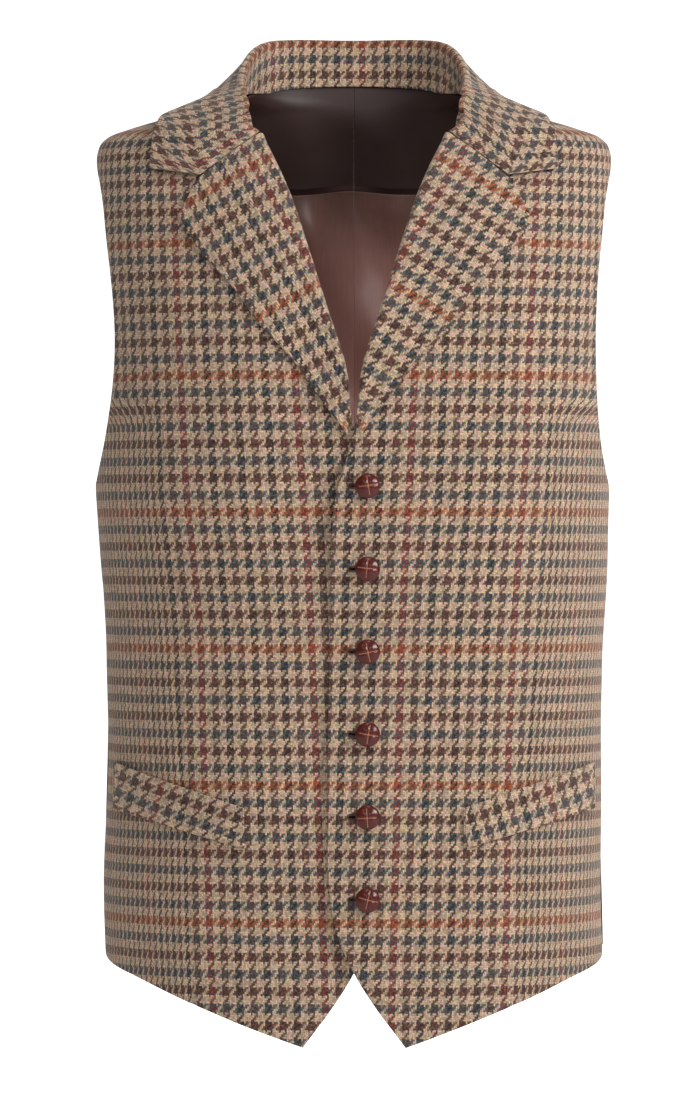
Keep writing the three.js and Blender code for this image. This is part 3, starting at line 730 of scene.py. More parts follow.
def fine_cloth(name, colour, roughness, sheen, fineness=3.0, slub=0.3, bump_strength=0.12, shaded_above=None):
    """A plain or satin cloth. Above a given height, in metres, its colour is darkened towards dark brown:
    painted shade inside the neck.
    """
    material = bpy.data.materials.new(name)
    material.use_nodes = True
    g = Graph(material.node_tree)
    shader = material.node_tree.nodes["Principled BSDF"]
    uv = g.node("ShaderNodeUVMap", uv_map="threads").outputs[0]
    weave = g.node("ShaderNodeGroup", node_tree=fine_weave_group)
    g.tree.links.new(uv, weave.inputs["Threads"])
    weave.inputs["Color"].default_value = colour
    weave.inputs["Fineness"].default_value = fineness
    weave.inputs["Slub"].default_value = slub
    bump = g.node("ShaderNodeBump", {"Strength": bump_strength, "Distance": 0.0002,
                                     "Height": weave.outputs["Height"]})
    shown = weave.outputs["Color"]
    # Painted shade: above the given height the colour is darkened towards dark brown, for the shade inside
    # the neck under the yoke.
    if shaded_above is not None:
        place = g.node("ShaderNodeTexCoord").outputs["Object"]
        height = g.node("ShaderNodeSeparateXYZ", {0: place}).outputs[2]
        wavering = g.math("MULTIPLY_ADD", g.noise(place, 28.0, 3.0), 0.05, height)
        limits = {0: wavering, 1: shaded_above - 0.01, 2: shaded_above + 0.04}
        dark = g.node("ShaderNodeMapRange", limits).outputs[0]
        shown = g.mix(g.math("MULTIPLY", dark, 0.7), shown, srgb(66, 50, 40))
    g.tree.links.new(shown, shader.inputs["Base Color"])
    g.tree.links.new(bump.outputs[0], shader.inputs["Normal"])
    shader.inputs["Roughness"].default_value = roughness
    shader.inputs["Sheen Weight"].default_value = sheen
    shader.inputs["Sheen Roughness"].default_value = 0.35
    return material


# The lining is darkened towards its top as painted shade inside the neck.
lining_satin = fine_cloth("lining_satin", srgb(154, 110, 101), 0.27, 0.03, shaded_above=-0.055)
back_satin = fine_cloth("back_satin", srgb(88, 60, 54), 0.36, 0.05)
# Yoke satin: a dark cloth, made near-black partly as painted shade inside the neck.
yoke_satin = fine_cloth("yoke_satin", srgb(46, 24, 19), 0.5, 0.0)
canvas_cloth = fine_cloth("hair_canvas", srgb(196, 184, 160), 0.9, 0.1, 1.0, 0.5, 0.5)
undercollar_felt = fine_cloth("undercollar_felt", srgb(84, 62, 52), 0.95, 0.4, 0.7, 0.6, 0.4)
print("cloth materials", len(bpy.data.materials))

# %% [markdown]
# ## Cloth coordinates
# A check only looks woven if it runs through the whole panel, so every point needs its place in the
# flat cloth. Across, that is the length round the body from the centre, and the grain leans a little
# towards the centre lower down. Along, it is the length over the chest's curve. Both are counted in
# threads, with a red stripe and an orange row at nought.

# %% Measuring along the cloth
REFERENCE_Z = -300
ORANGE_ROW_Z = -359
GRAIN = {1: [(-600, 25), (-294, 33.7), (-158, 40.2), (20, 49)],
         -1: [(-600, 19.1), (-294, 31.3), (-158, 39.6), (20, 48)]}
SIDE_FRONT = [(-600, 107), (-486, 109), (-293, 128), (-207, 130)]

section_angles = np.concatenate([np.linspace(0, 89.95, 500), np.linspace(90.05, 180, 500)])
section = form_point(section_angles, REFERENCE_Z)
section_run = run_along(section, 0)
heights = np.linspace(-640, 70, 700)
height_run = run_along(form_point(np.full(700, 20.0), heights), 0)


def table(pairs, value):
    return np.interp(value, *zip(*sorted(pairs)))


def panel_threads(angle, z, hand):
    """The place in the flat cloth, in threads, of a point on the form."""
    round_body = np.sign(angle) * np.interp(np.abs(angle), section_angles, section_run)
    grain = table(GRAIN[hand], z)
    seam = np.interp(angle_at(table(SIDE_FRONT, z), z), section_angles, section_run)
    beyond = np.maximum(round_body - seam, 0) * smooth(z, -190, -215)
    across = (round_body - grain + 0.9 * beyond) * hand
    along = np.interp(z, heights, height_run) - np.interp(ORANGE_ROW_Z, heights, height_run)
    return np.stack([across / END_PITCH, along / PICK_PITCH], -1)


def turned_threads(points, hand, degrees):
    """Threads on a flat piece whose grain leans out by some degrees."""
    lean = math.radians(degrees)
    x, z = points[..., 0] * hand, points[..., 2]
    across = (x * math.cos(lean) - z * math.sin(lean)) * hand
    along = x * math.sin(lean) + z * math.cos(lean)
    return np.stack([across / END_PITCH, along / PICK_PITCH], -1)


print("length over the chest", round(float(height_run[-1])), "mm")

# %% [markdown]
# ## The fronts
# Each front has four layers. The outer tweed and the facing are pressed together along the front
# edge, with the canvas stopping a little short between them, and the satin lining takes over from
# the facing towards the side. All four use the same panel, at different depths.

# %% Fronts
HANDS = {"left": 1, "right": -1}
PRESSED_WIDTH = 6


def grid_normals(points, outward):
    """Normals of a grid of points, on the side that `outward` is on."""
    normals = unit(np.cross(np.gradient(points, axis=1), np.gradient(points, axis=0)))
    return normals * np.where((normals * outward).sum(-1, keepdims=True) < 0, -1, 1)


def layer(name, patch, panel, hand, across, along, depth, material, nodes, slot, press=0.0, waves=None):
    """One layer of a panel, between the two distances of `depth` from the form."""
    s, t = np.meshgrid(across, along)
    points, normals = patch(s, t)
    middle = sum(depth) / 2
    free_edge = 1 - smooth((1 - s) * 180, 0, PRESSED_WIDTH)
    points = points + normals * (middle + press * free_edge)[..., None]
    if waves is not None:
        facing = normals
        points = points - normals * waves(points, hand)[..., None]
        normals = grid_normals(points, facing)
    angle, z = np.moveaxis(panel(s, t), -1, 0)
    threads = panel_threads(angle, z, hand)
    piece, flat, area = sheet_mesh(name, points, normals, depth[1] - depth[0], threads)
    return finish_cloth(piece, material, nodes)


fronts = {}
for side, hand in HANDS.items():
    patch = panel_patch(front_panel, hand)
    wide, long = 190, 610
    fronts[side] = [
        layer(f"tweed_front_{side}", patch, front_panel, hand, spread_lines(84, wide),
              spread_lines(230, long), (-1.4, 0), tweed, [f"front_{side}_outer"], "tweed", press=-0.5),
        layer(f"canvas_front_{side}", patch, front_panel, hand, spread_lines(34, wide, 0.28, 0.9),
              spread_lines(110, long, 0.05, 0.95), (-2.4, -1.8), canvas_cloth, [f"front_{side}_canvas"],
              "canvas"),
        layer(f"facing_front_{side}", patch, front_panel, hand, spread_lines(40, wide, 7 / 11, 1),
              spread_lines(180, long), (-3.8, -2.8), tweed, [f"front_{side}_facing"], "tweed", press=1.0),
        layer(f"lining_front_{side}", patch, front_panel, hand, spread_lines(56, wide, 0, 7 / 11),
              spread_lines(160, long, 0.05, 1), (-6.9, -6.3), lining_satin, [f"front_{side}_lining"],
              "lining_satin"),
    ]

# %% [markdown]
# ## Pockets
# A welt pocket shows only a folded strip of tweed, set into the front at a slant with the grain
# turned to match. The pocket bag hangs behind it, between the canvas and the lining.

# %% Welts and pocket bags
WELT = {"inner": 72, "outer": 160, "inner_top": -464, "inner_bottom": -491, "outer_top": -436,
        "outer_bottom": -467}
BAG_BOTTOM_Z = -545


def lerp(a, b, w):
    return a + (b - a) * w


def welt_map(s, t):
    x = lerp(WELT["inner"], WELT["outer"], s)
    bottom = lerp(WELT["inner_bottom"], WELT["outer_bottom"], s)
    top = lerp(WELT["inner_top"], WELT["outer_top"], s)
    z = lerp(bottom, top, t)
    return np.stack([angle_at(x, z), z], -1)


def bag_map(s, t):
    x = lerp(WELT["inner"] + 14, WELT["outer"] - 8, s)
    z = lerp(BAG_BOTTOM_Z, lerp(WELT["inner_top"] - 8, WELT["outer_top"] - 8, s), t)
    return np.stack([angle_at(x, z), z], -1)


for side, hand in HANDS.items():
    s, t = np.meshgrid(spread_lines(60, 95), spread_lines(16, 29))
    points, normals = panel_patch(welt_map, hand)(s, t)
    points = points + normals * 1.8
    threads = turned_threads(points * (1.08, 1, 1), hand, -17)
    piece, flat, area = sheet_mesh(f"pocket_welt_{side}", points, normals, 2.0, threads)
    finish_cloth(piece, tweed, [f"welt_{side}"])
    layer(f"pocket_lining_{side}", panel_patch(bag_map, hand), bag_map, hand, spread_lines(24, 80),
          spread_lines(26, 90), (-5.4, -4.5), lining_satin, [f"pocket_bag_{side}"], "lining_satin")

# %% [markdown]
# ## Lapels
# A lapel is the front's own facing, turned out over the roll line. The roll matters: a lapel folded
# flat looks like card, while wool turns in a soft curve. Each row of the sheet starts behind the
# front edge, travels round an arc over it, and then lies down towards the lapel's edge. The arc
# fades to nothing at the top button, where the front edge takes over.

# %% Lapels
LAPEL_GRAIN = 30
ROLL_SWEEP = 0.84 * math.pi


def lapel_surface(hand, s, t):
    base, normals = panel_patch(lapel_panel, hand)(s, t)
    spring = 1.0 + 2.3 * smooth(t, 0, 0.18) * (1 - s) ** 2
    settle = 0.5 * np.sin(np.pi * s) * smooth(t, 0.1, 0.5)
    return base + normals * (spring + settle + 1.3)[..., None], normals


for side, hand in HANDS.items():
    along = spread_lines(110, 230)
    across = spread_lines(44, 60)[1:]
    s, t = np.meshgrid(across, along)
    leaf, leaf_normals = lapel_surface(hand, s, t)
    root, root_normals = lapel_surface(hand, np.zeros(len(along)), along)
    outward = unit(root - lapel_surface(hand, np.full(len(along), 0.02), along)[0])
    radius = (4.3 + 2.0 * smooth(along, 0, 0.18)) / 2 + 0.6
    sweep = ROLL_SWEEP * smooth(along, -0.02, 0.2) + 0.02
    turns = np.linspace(1, 0, 15)
    phi = sweep[:, None] * turns[None, :]
    arm = (np.cos(phi)[..., None] * root_normals[:, None] + np.sin(phi)[..., None] * outward[:, None])
    centre = root - root_normals * radius[:, None]
    roll = centre[:, None] + arm * radius[:, None, None]
    points = np.concatenate([roll, leaf], 1)
    normals = np.concatenate([arm, leaf_normals], 1)
    unrolled = root[:, None] + outward[:, None] * (phi * radius[:, None])[..., None]
    flat_place = np.concatenate([unrolled, leaf], 1)
    threads = turned_threads(flat_place, hand, LAPEL_GRAIN)
    piece, flat, area = sheet_mesh(f"rolled_lapel_{side}", points, normals, 1.8, threads)
    finish_cloth(piece, tweed, [f"lapel_{side}"])

# %% [markdown]
# ## The back
# Two satin halves meet at the centre seam. Inside, a dark yoke sits across the shoulders and a
# lining hangs below it. The yoke's near-black is partly the cloth's colour and partly painted shade
# inside the neck.

# %% Back
CENTRE_SEAM = 0.99999
YOKE_LINE = 0.883

for side, hand in HANDS.items():
    def half_back(s, t):
        return back_panel(s * CENTRE_SEAM, t)

    patch = panel_patch(half_back, hand, False)
    wide, long = 210, 600
    high = np.concatenate([np.linspace(0.9, 0.999, 26), [1.0]])
    layer(f"satin_back_{side}", patch, half_back, hand, spread_lines(84, wide),
          np.concatenate([[v for v in spread_lines(190, long) if v < 0.899], high]),
          (-0.7, 0), back_satin, [f"back_{side}_outer"], "back_satin")
    layer(f"lining_back_{side}", patch, half_back, hand, spread_lines(70, wide),
          spread_lines(160, long, 0.076, YOKE_LINE - 0.003), (-2.6, -2), lining_satin,
          [f"back_{side}_lining"], "lining_satin", waves=lining_waves)
    layer(f"yoke_{side}", patch, half_back, hand, spread_lines(70, wide, 1 / 9, 1),
          spread_lines(60, long, YOKE_LINE + 0.003, 0.999), (-1.8, -1.2), yoke_satin,
          [f"back_{side}_yoke_lining"], "yoke_satin", waves=lining_waves)

# %% [markdown]
# ## The collar
# The collar is one strip of tweed. It stands up inside the neck, turns over at the roll line, and
# falls outside. At the front there is no stand, so the strip begins just behind the roll and its
# front line is bent at the notch. A felt under collar lies beneath the fall.

# %% Collar
STAND_START = 60
ROLL_LIFT, EDGE_LIFT = 1.6, 1.5
TURN_RADIUS = 2.5
roll_line, leaf_edge = outline(ROLL_LINE), outline(LEAF_EDGE)
neck_height = profile(BACK_NECK)


def bent_front(v):
    bend = 0.55
    w = np.where(v < bend, v / bend, (v - bend) / (1 - bend))
    ends = [(64, -16.6), NOTCH, LEAF_TIP]
    x = np.where(v < bend, lerp(ends[0][0], ends[1][0], w), lerp(ends[1][0], ends[2][0], w))
    z = np.where(v < bend, lerp(ends[0][1], ends[1][1], w), lerp(ends[1][1], ends[2][1], w))
    return push_out(form_point(angle_at(x, z), z), ROLL_LIFT)


def leaf_half(u, v):
    """The fall on one side. u runs from the notch to the centre back, and v from roll to edge."""
    roll = push_out(form_point(*np.moveaxis(roll_line(u), -1, 0)), ROLL_LIFT)
    edge = push_out(form_point(*np.moveaxis(leaf_edge(u), -1, 0)), EDGE_LIFT)
    w = v[..., None]
    straight = roll * (1 - w) + edge * w
    start, end = bent_front(np.zeros_like(v)), bent_front(np.ones_like(v))
    bent = (bent_front(v) - (start * (1 - w) + end * w)) * ((1 - u) ** 6)[..., None]
    point = straight + bent
    bulge = 3 * np.sin(np.pi * v) * smooth(u, 0.15, 0.5)
    point = push_out(point, ROLL_LIFT) + unit(form_gradient(point)) * bulge[..., None]
    point[..., 0] = np.where(u > 0.9999, 0, point[..., 0])
    return point


def both_sides(half_grid):
    """Joins the left half, which ends at the centre back, to its mirror image."""
    mirrored = half_grid[:, -2::-1] * (-1, 1, 1)
    return np.concatenate([half_grid, mirrored], 1)


u, v = np.meshgrid(np.concatenate([np.linspace(0, 0.02, 6), np.linspace(0.03, 1, 90)]),
                   spread_lines(22, 45))
fall = both_sides(leaf_half(u, v))
fall_normals = grid_normals(fall, form_gradient(fall))
along_roll = unit(np.gradient(fall[0], axis=0))
top = fall[0] + fall_normals[0] * 2.1
top_out = unit(form_gradient(fall[0]))
top_out = unit(top_out - along_roll * (top_out * along_roll).sum(-1, keepdims=True))
up = np.cross(along_roll, top_out)
up *= np.where(up[:, 2:] < 0, -1, 1)
half_angle = roll_line(u[0])[:, 0]
angle = np.concatenate([half_angle, half_angle[-2::-1]])
mirror = np.concatenate([np.ones(len(half_angle)), -np.ones(len(half_angle) - 1)])
sweep = lerp(0.3, 1.0, smooth(angle, STAND_START, 86)) * math.pi
phi = sweep[None, :] * np.linspace(1, 0, 13)[:, None]
arm = np.cos(phi)[..., None] * top_out + np.sin(phi)[..., None] * up
centre = top - top_out * TURN_RADIUS
turn = centre + arm * TURN_RADIUS
tucked = smooth(angle, 105, 130)
low = neck_height(np.maximum(angle, 90)) + lerp(2.2, -3.5, tucked)
foot = form_point(angle, low)
foot[:, 0] *= mirror
foot = foot - unit(form_gradient(foot)) * lerp(1.3, 3.0, tucked)[:, None]
has_stand = smooth(angle, 82, 90)[:, None]
foot = foot * has_stand + (turn[0] - up * 1.0) * (1 - has_stand)
rise = np.concatenate([[0, 0.01, 0.03, 0.06], np.linspace(0.1, 0.97, 14)])[:, None, None]
stand = foot * (1 - rise) + turn[0] * rise
points = np.concatenate([stand, turn, (fall + fall_normals * 2.1)[1:]])
outward = np.concatenate([np.repeat(-top_out[None], len(stand), 0), arm, fall_normals[1:]])
normals = grid_normals(points, outward)
middle_run = run_along(points[len(stand) + len(turn) + 8][None], 1)[0]
middle_run -= middle_run[len(angle) // 2]
down = run_along(points, 0)
threads = np.stack([np.broadcast_to((-middle_run - 6.3) / END_PITCH, points.shape[:2]),
                    (down - down[len(stand):len(stand) + 1]) / PICK_PITCH], -1)
piece, flat, area = sheet_mesh("rolled_collar", points, normals, 1.4, threads)
finish_cloth(piece, tweed, ["collar_stand", "top_collar"])

under = fall[1:-1, 1:-1] + fall_normals[1:-1, 1:-1] * 0.5
piece, flat, area = sheet_mesh("undercollar", under, fall_normals[1:-1, 1:-1], 1.0,
                               threads[-len(under):, 1:-1])
finish_cloth(piece, undercollar_felt, ["under_collar"])

# %% [markdown]
# ## The back strap
# Two satin straps start at the side folds. The right one runs through the buckle, so it climbs over
# the bar and lies on the left one, where a small loop keeps its tail down. The strap also folds
# round the buckle's fixed bar.

# %% Straps, sleeve and keeper
STRAP_WIDTH, STRAP_START = 26, 122
LEFT_LIFT = [(13.4, 4), (30, 1.6), (60, 1.6), (STRAP_START, 1.2)]
RIGHT_LIFT = [(-STRAP_START, 1.2), (-60, 0.9), (-7, 0.8), (5.4, 7.3), (14, 7.5), (30, 3.5), (62, 3.4)]
KEEPER_X = 40


def on_back(x, z):
    return form_point(180 - angle_at(x, z), z)


def strap(name, stations, node):
    x, t = np.meshgrid(np.linspace(stations[0][0], stations[-1][0], 150), spread_lines(12, STRAP_WIDTH))
    z = CINCH_Z + (t - 0.5) * STRAP_WIDTH
    base = on_back(x, z)
    normals = unit(form_gradient(base))
    points = base + normals * (profile(stations)(x) + 0.45)[..., None]
    threads = np.stack([x / END_PITCH, z / PICK_PITCH], -1)
    piece, flat, area = sheet_mesh(name, points, grid_normals(points, normals), 0.9, threads)
    return finish_cloth(piece, back_satin, [node])


strap("strap_left", LEFT_LIFT, "cinch_strap_left")
strap("strap_right", RIGHT_LIFT, "cinch_strap_right")


def band(name, path, width, thickness, centre, turn, node):
    """A narrow loop of cloth. `path` is its open outline in the plane across its width."""
    path = np.array(path, float)
    rows = spread_lines(10, width)
    tangent = unit(np.gradient(path, axis=0))
    side = np.stack([tangent[:, 1], -tangent[:, 0]], -1)
    c, s = math.cos(turn), math.sin(turn)

    def world(flat_points, w):
        x, y = flat_points[:, 0], flat_points[:, 1]
        return np.stack([x * c - y * s, x * s + y * c, np.full_like(x, w)], -1)

    points = np.stack([world(path, (w - 0.5) * width) for w in rows]) + np.array(centre)
    normals = np.stack([world(side, 0.0) for _ in rows])
    threads = np.stack([run_along(points, 1) / END_PITCH, points[..., 2] / PICK_PITCH], -1)
    piece, flat, area = sheet_mesh(name, points, normals, thickness, threads)
    return finish_cloth(piece, back_satin, [node])


cinch_y = float(on_back(0.0, CINCH_Z)[1])
buckle_y = cinch_y + 4.4
round_bar = np.linspace(0.04, 2 * math.pi - 0.04, 40)
band("bar_sleeve", [(1.95 * math.cos(a), 1.95 * math.sin(a)) for a in round_bar], 24, 0.6,
     (10, buckle_y, CINCH_Z), 0, "buckle_sleeve")

half_z, half_lift = STRAP_WIDTH / 2 + 1.9, 2.1
turns = np.linspace(0.03, 2 * math.pi - 0.03, 90)
loop_z = np.sign(np.sin(turns)) * np.abs(np.sin(turns)) ** 0.35 * half_z
loop_lift = -np.sign(np.cos(turns)) * np.abs(np.cos(turns)) ** 0.5 * half_lift
foot = on_back(float(KEEPER_X), CINCH_Z)
out = unit(form_gradient(foot))
out = unit(out * (1, 1, 0))
along = np.array([out[1], -out[0], 0])
loop = foot + out * (3.6 + loop_lift)[:, None] + np.array([0, 0, 1]) * loop_z[:, None]
rows = spread_lines(6, 4) - 0.5
points = np.stack([loop + along * 4 * w for w in rows])
normals = np.cross(np.gradient(points, axis=1), along)
normals = unit(normals * np.sign((normals * (points - foot - out * 3.6)).sum((0, 1, 2))))
threads = np.stack([points[..., 2] / END_PITCH, points[..., 0] / PICK_PITCH], -1)
piece, flat, area = sheet_mesh("strap_keeper", points, normals, 0.6, threads)
dress(piece, back_satin, ["cinch_keeper"])
print("buckle stands", round(buckle_y - cinch_y, 1), "mm off the back")

# %% [markdown]
# ## Buttons
# Football buttons are plaited from leather strips, so the face is four soft puffs with a stitched
# cross between them. The puffs are in the shape: the dome sinks along two lines that cross a little
# off the middle, and each button has been sewn on at its own turn. A UV map in millimetres lets the
# leather's shader put the thread into those grooves.

# %% Leather and button shapes
BUTTON_X, BUTTON_TOP_Z, BUTTON_PITCH, BUTTON_RADIUS = 8.9, -251.7, 54.5, 8.2
BUTTON_TURNS = [9, -6, 12, -10, 4, -14]
CROSS_OFFSETS = [(0.5, 0.3), (-0.4, 0.5), (0.3, -0.5), (0.6, 0.1), (-0.3, -0.4), (0.2, 0.5)]
DOME = [(0, 4.45), (0.25, 4.3), (0.45, 3.95), (0.7, 3.2), (0.88, 2.3), (0.97, 1.55), (1.0, 0.95)]


def build_leather():
    group, g, given, end = new_group(
        "stitched_leather",
        [("Face", "NodeSocketVector", None), ("Leather", "NodeSocketColor", srgb(60, 20, 14)),
         ("Thread", "NodeSocketColor", srgb(172, 110, 76)), ("Thread Width", "NodeSocketFloat", 0.3)],
        [("Color", "NodeSocketColor"), ("Height", "NodeSocketFloat"), ("Thread Mask", "NodeSocketFloat")])
    place = g.node("ShaderNodeSeparateXYZ", {0: given["Face"]})
    x, y = (g.math("ABSOLUTE", place.outputs[k]) for k in (0, 1))
    near = g.math("LESS_THAN", g.math("MINIMUM", x, y), given["Thread Width"])
    inside = g.math("LESS_THAN", g.math("MAXIMUM", x, y), 6.4)
    along = g.math("MAXIMUM", x, y)
    dash = g.math("LESS_THAN", g.math("FRACT", g.math("MULTIPLY", along, 0.8)), 0.82)
    mask = g.math("MULTIPLY", g.math("MULTIPLY", near, inside), dash)
    grain = g.noise(given["Face"], 2.2, 4.0, 0.6)
    pebble = g.node("ShaderNodeTexVoronoi", {"Vector": given["Face"], "Scale": 3.0}).outputs["Distance"]
    worn = g.node("ShaderNodeMapRange", {0: grain, 1: 0.35, 2: 0.75, 3: 0.7, 4: 1.25}).outputs[0]
    tone = g.node("ShaderNodeCombineColor", {0: worn, 1: worn, 2: worn}).outputs[0]
    leather = g.mix(1.0, given["Leather"], tone, "MULTIPLY")
    g.tree.links.new(g.mix(mask, leather, given["Thread"]), end.inputs["Color"])
    g.tree.links.new(g.math("MULTIPLY_ADD", mask, 1.5, g.math("MULTIPLY_ADD", pebble, 0.5, grain)),
                     end.inputs["Height"])
    g.tree.links.new(mask, end.inputs["Thread Mask"])
    return group


leather_group = build_leather()


def leather_material(name, colour, stitched):
    material = bpy.data.materials.new(name)
    material.use_nodes = True
    g = Graph(material.node_tree)
    shader = material.node_tree.nodes["Principled BSDF"]
    if stitched:
        place = g.node("ShaderNodeUVMap", uv_map="face").outputs[0]
    else:
        place = g.node("ShaderNodeMapping", {"Vector": g.node("ShaderNodeTexCoord").outputs["Object"],
                                             "Location": (20, 20, 20), "Scale": (1000,) * 3}).outputs[0]
    leather = g.node("ShaderNodeGroup", node_tree=leather_group)
    g.tree.links.new(place, leather.inputs["Face"])
    leather.inputs["Leather"].default_value = colour
    leather.inputs["Thread Width"].default_value = 0.3 if stitched else 0.0
    roughness = g.math("MULTIPLY_ADD", leather.outputs["Thread Mask"], 0.5, 0.27)
    bump = g.node("ShaderNodeBump", {"Strength": 0.1, "Distance": 0.0002,
                                     "Height": leather.outputs["Height"]})
    g.tree.links.new(leather.outputs["Color"], shader.inputs["Base Color"])
    g.tree.links.new(roughness, shader.inputs["Roughness"])
    g.tree.links.new(bump.outputs[0], shader.inputs["Normal"])
    shader.inputs["Coat Weight"].default_value = 0.22
    shader.inputs["Coat Roughness"].default_value = 0.16
    shader.inputs["Specular IOR Level"].default_value = 0.3
    return material


button_leather = leather_material("button_leather", srgb(84, 22, 14), True)
back_leather = leather_material("button_back_leather", srgb(52, 26, 20), False)


def button_mesh(name, turn, offset):
    """A domed cap whose axis is +Z, with its face map in millimetres, and a flat underside."""
    rings, around = 26, 64
    radii = np.concatenate([np.linspace(0, 0.9, rings - 8)[1:], np.linspace(0.91, 1, 8)])
    theta = np.linspace(0, 2 * math.pi, around, endpoint=False)
    share, theta = np.meshgrid(radii, theta, indexing="ij")
    x, y = share * BUTTON_RADIUS * np.cos(theta), share * BUTTON_RADIUS * np.sin(theta)
    c, s = math.cos(math.radians(turn)), math.sin(math.radians(turn))

    def shape(x, y, share):
        fx, fy = x * c + y * s - offset[0], -x * s + y * c - offset[1]
        groove = np.exp(-(fx / 0.6) ** 2) + np.exp(-(fy / 0.6) ** 2)
        swell_x, swell_y = (np.sin(np.clip(np.abs(f) / 5, 0, 1) * np.pi) for f in (fx, fy))
        relief = 0.3 * swell_x * swell_y - 0.4 * np.minimum(groove, 1.2)
        z = np.interp(share, *zip(*DOME)) + relief * (1 - smooth(share, 0.68, 0.95))
        return z, np.stack([fx, fy], -1)

    z, face = shape(x, y, share)
    z0, face0 = shape(0.0, 0.0, np.array(0.0))
    upper = np.stack([x, y, z], -1).reshape(-1, 3)
    rim = np.stack([x[-1], y[-1], z[-1]], -1)
    under = [rim * (k, k, 0) + np.array([0, 0, h]) for k, h in ((0.985, 0.5), (0.94, 0.15), (0.86, 0.0))]
    verts = np.vstack([[[0, 0, float(z0)]], upper, *under, [[0, 0, 0]]])
    maps = np.vstack([face0.reshape(1, 2), face.reshape(-1, 2), np.full((3 * around + 1, 2), 20.0)])
    faces = []
    last = 1 + (len(radii) + 2) * around
    for k in range(around):
        n = (k + 1) % around
        faces.append((0, 1 + k, 1 + n))
        for ring in range(len(radii) + 2):
            a = 1 + ring * around
            faces.append((a + k, a + around + k, a + around + n, a + n))
        faces.append((last + k, len(verts) - 1, last + n))
    data = bpy.data.meshes.new(name)
    data.from_pydata((verts * MM).tolist(), [], faces)
    layer_map = data.uv_layers.new(name="face")
    corner = np.array([loop.vertex_index for loop in data.loops])
    layer_map.data.foreach_set("uv", maps[corner].ravel())
    data.polygons.foreach_set("use_smooth", [True] * len(faces))
    return data


button_heights = [BUTTON_TOP_Z - k * BUTTON_PITCH for k in range(6)]
for k, z in enumerate(button_heights):
    data = button_mesh(f"button_face_{k + 1}", BUTTON_TURNS[k], CROSS_OFFSETS[k])
    face_y = float(form_point(angle_at(BUTTON_X, z), z)[1]) - 1.6 - 2.0
    points = np.array([v.co for v in data.vertices])
    placed = np.stack([points[:, 0] + BUTTON_X * MM, face_y * MM - points[:, 2], points[:, 1] + z * MM], -1)
    data.vertices.foreach_set("co", placed.ravel())
    data.update()
    data.materials.append(button_leather)
    cap = bpy.data.objects.new(f"leather_button_{k + 1}", data)
    bpy.context.collection.objects.link(cap)
    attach(cap, f"button_{k + 1}")
    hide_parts(f"button_{k + 1}_cap")
print("six buttons,", len(data.polygons), "faces each")

# %% [markdown]
# ## Buttonholes
# A buttonhole is a real cut through the outer tweed, the canvas and the facing. It could be left out
# of the grid of each sheet, but a slot has round ends, so a Boolean takes it out of the finished
# sheets instead. All six slots are one cutter, and each sheet becomes a plain mesh again.

# %% Cutting the buttonholes
SLIT_FROM, SLIT_TO, SLIT_HEIGHT = -3.6, 11.4, 2.2


def slot_outline(z, grow=0.0, count=12):
    """A round-ended slot, as [x, z] points."""
    radius = SLIT_HEIGHT / 2 + grow
    ends = [(SLIT_TO - SLIT_HEIGHT / 2, -90), (SLIT_FROM + SLIT_HEIGHT / 2, 90)]
    return [(x + radius * math.cos(math.radians(start + 180 * k / count)),
             z + radius * math.sin(math.radians(start + 180 * k / count)))
            for x, start in ends for k in range(count + 1)]


def slot_cutter(z, number):
    ring = slot_outline(z)
    middle = float(form_point(angle_at(BUTTON_X, z), z)[1])
    verts = [(x * MM, (middle + dy) * MM, h * MM) for dy in (-6, 9) for x, h in ring]
    count = len(ring)
    faces = [tuple(range(count)), tuple(range(2 * count - 1, count - 1, -1))]
    faces += [(k + count, (k + 1) % count + count, (k + 1) % count, k) for k in range(count)]
    data = bpy.data.meshes.new(f"slot_{number}")
    data.from_pydata(verts, [], faces)
    return data


joined = bmesh.new()
for k, z in enumerate(button_heights):
    joined.from_mesh(slot_cutter(z, k))
bmesh.ops.recalc_face_normals(joined, faces=joined.faces)
cutter_data = bpy.data.meshes.new("slots")
joined.to_mesh(cutter_data)
joined.free()
cutter = bpy.data.objects.new("slots", cutter_data)
bpy.context.collection.objects.link(cutter)
for piece in fronts["left"][:3]:
    before = len(piece.data.polygons)
    cut = piece.modifiers.new("buttonholes", "BOOLEAN")
    cut.object = cutter
    cut.solver = "EXACT"
    bpy.context.view_layer.update()
    result = bpy.data.meshes.new_from_object(piece.evaluated_get(bpy.context.evaluated_depsgraph_get()))
    piece.modifiers.remove(cut)
    piece.data = result
    print(piece.name, "faces", before, "to", len(result.polygons))
bpy.data.objects.remove(cutter)

# %% [markdown]
# ## Sewing
# On the real garment, thread runs round each buttonhole, holds the ends of the welts and edges the
# strap. Hundreds of stitches modelled one by one would be tedious, so one Geometry Nodes group does
# it all: it walks a line at an even pitch and lays a small rounded stitch at each step, along the
# line or across it. Its seed is fixed, so the sewing is the same each time.

# %% Sewing
THREAD_BROWN = srgb(74, 48, 38)
THREAD_TAN = srgb(150, 112, 84)


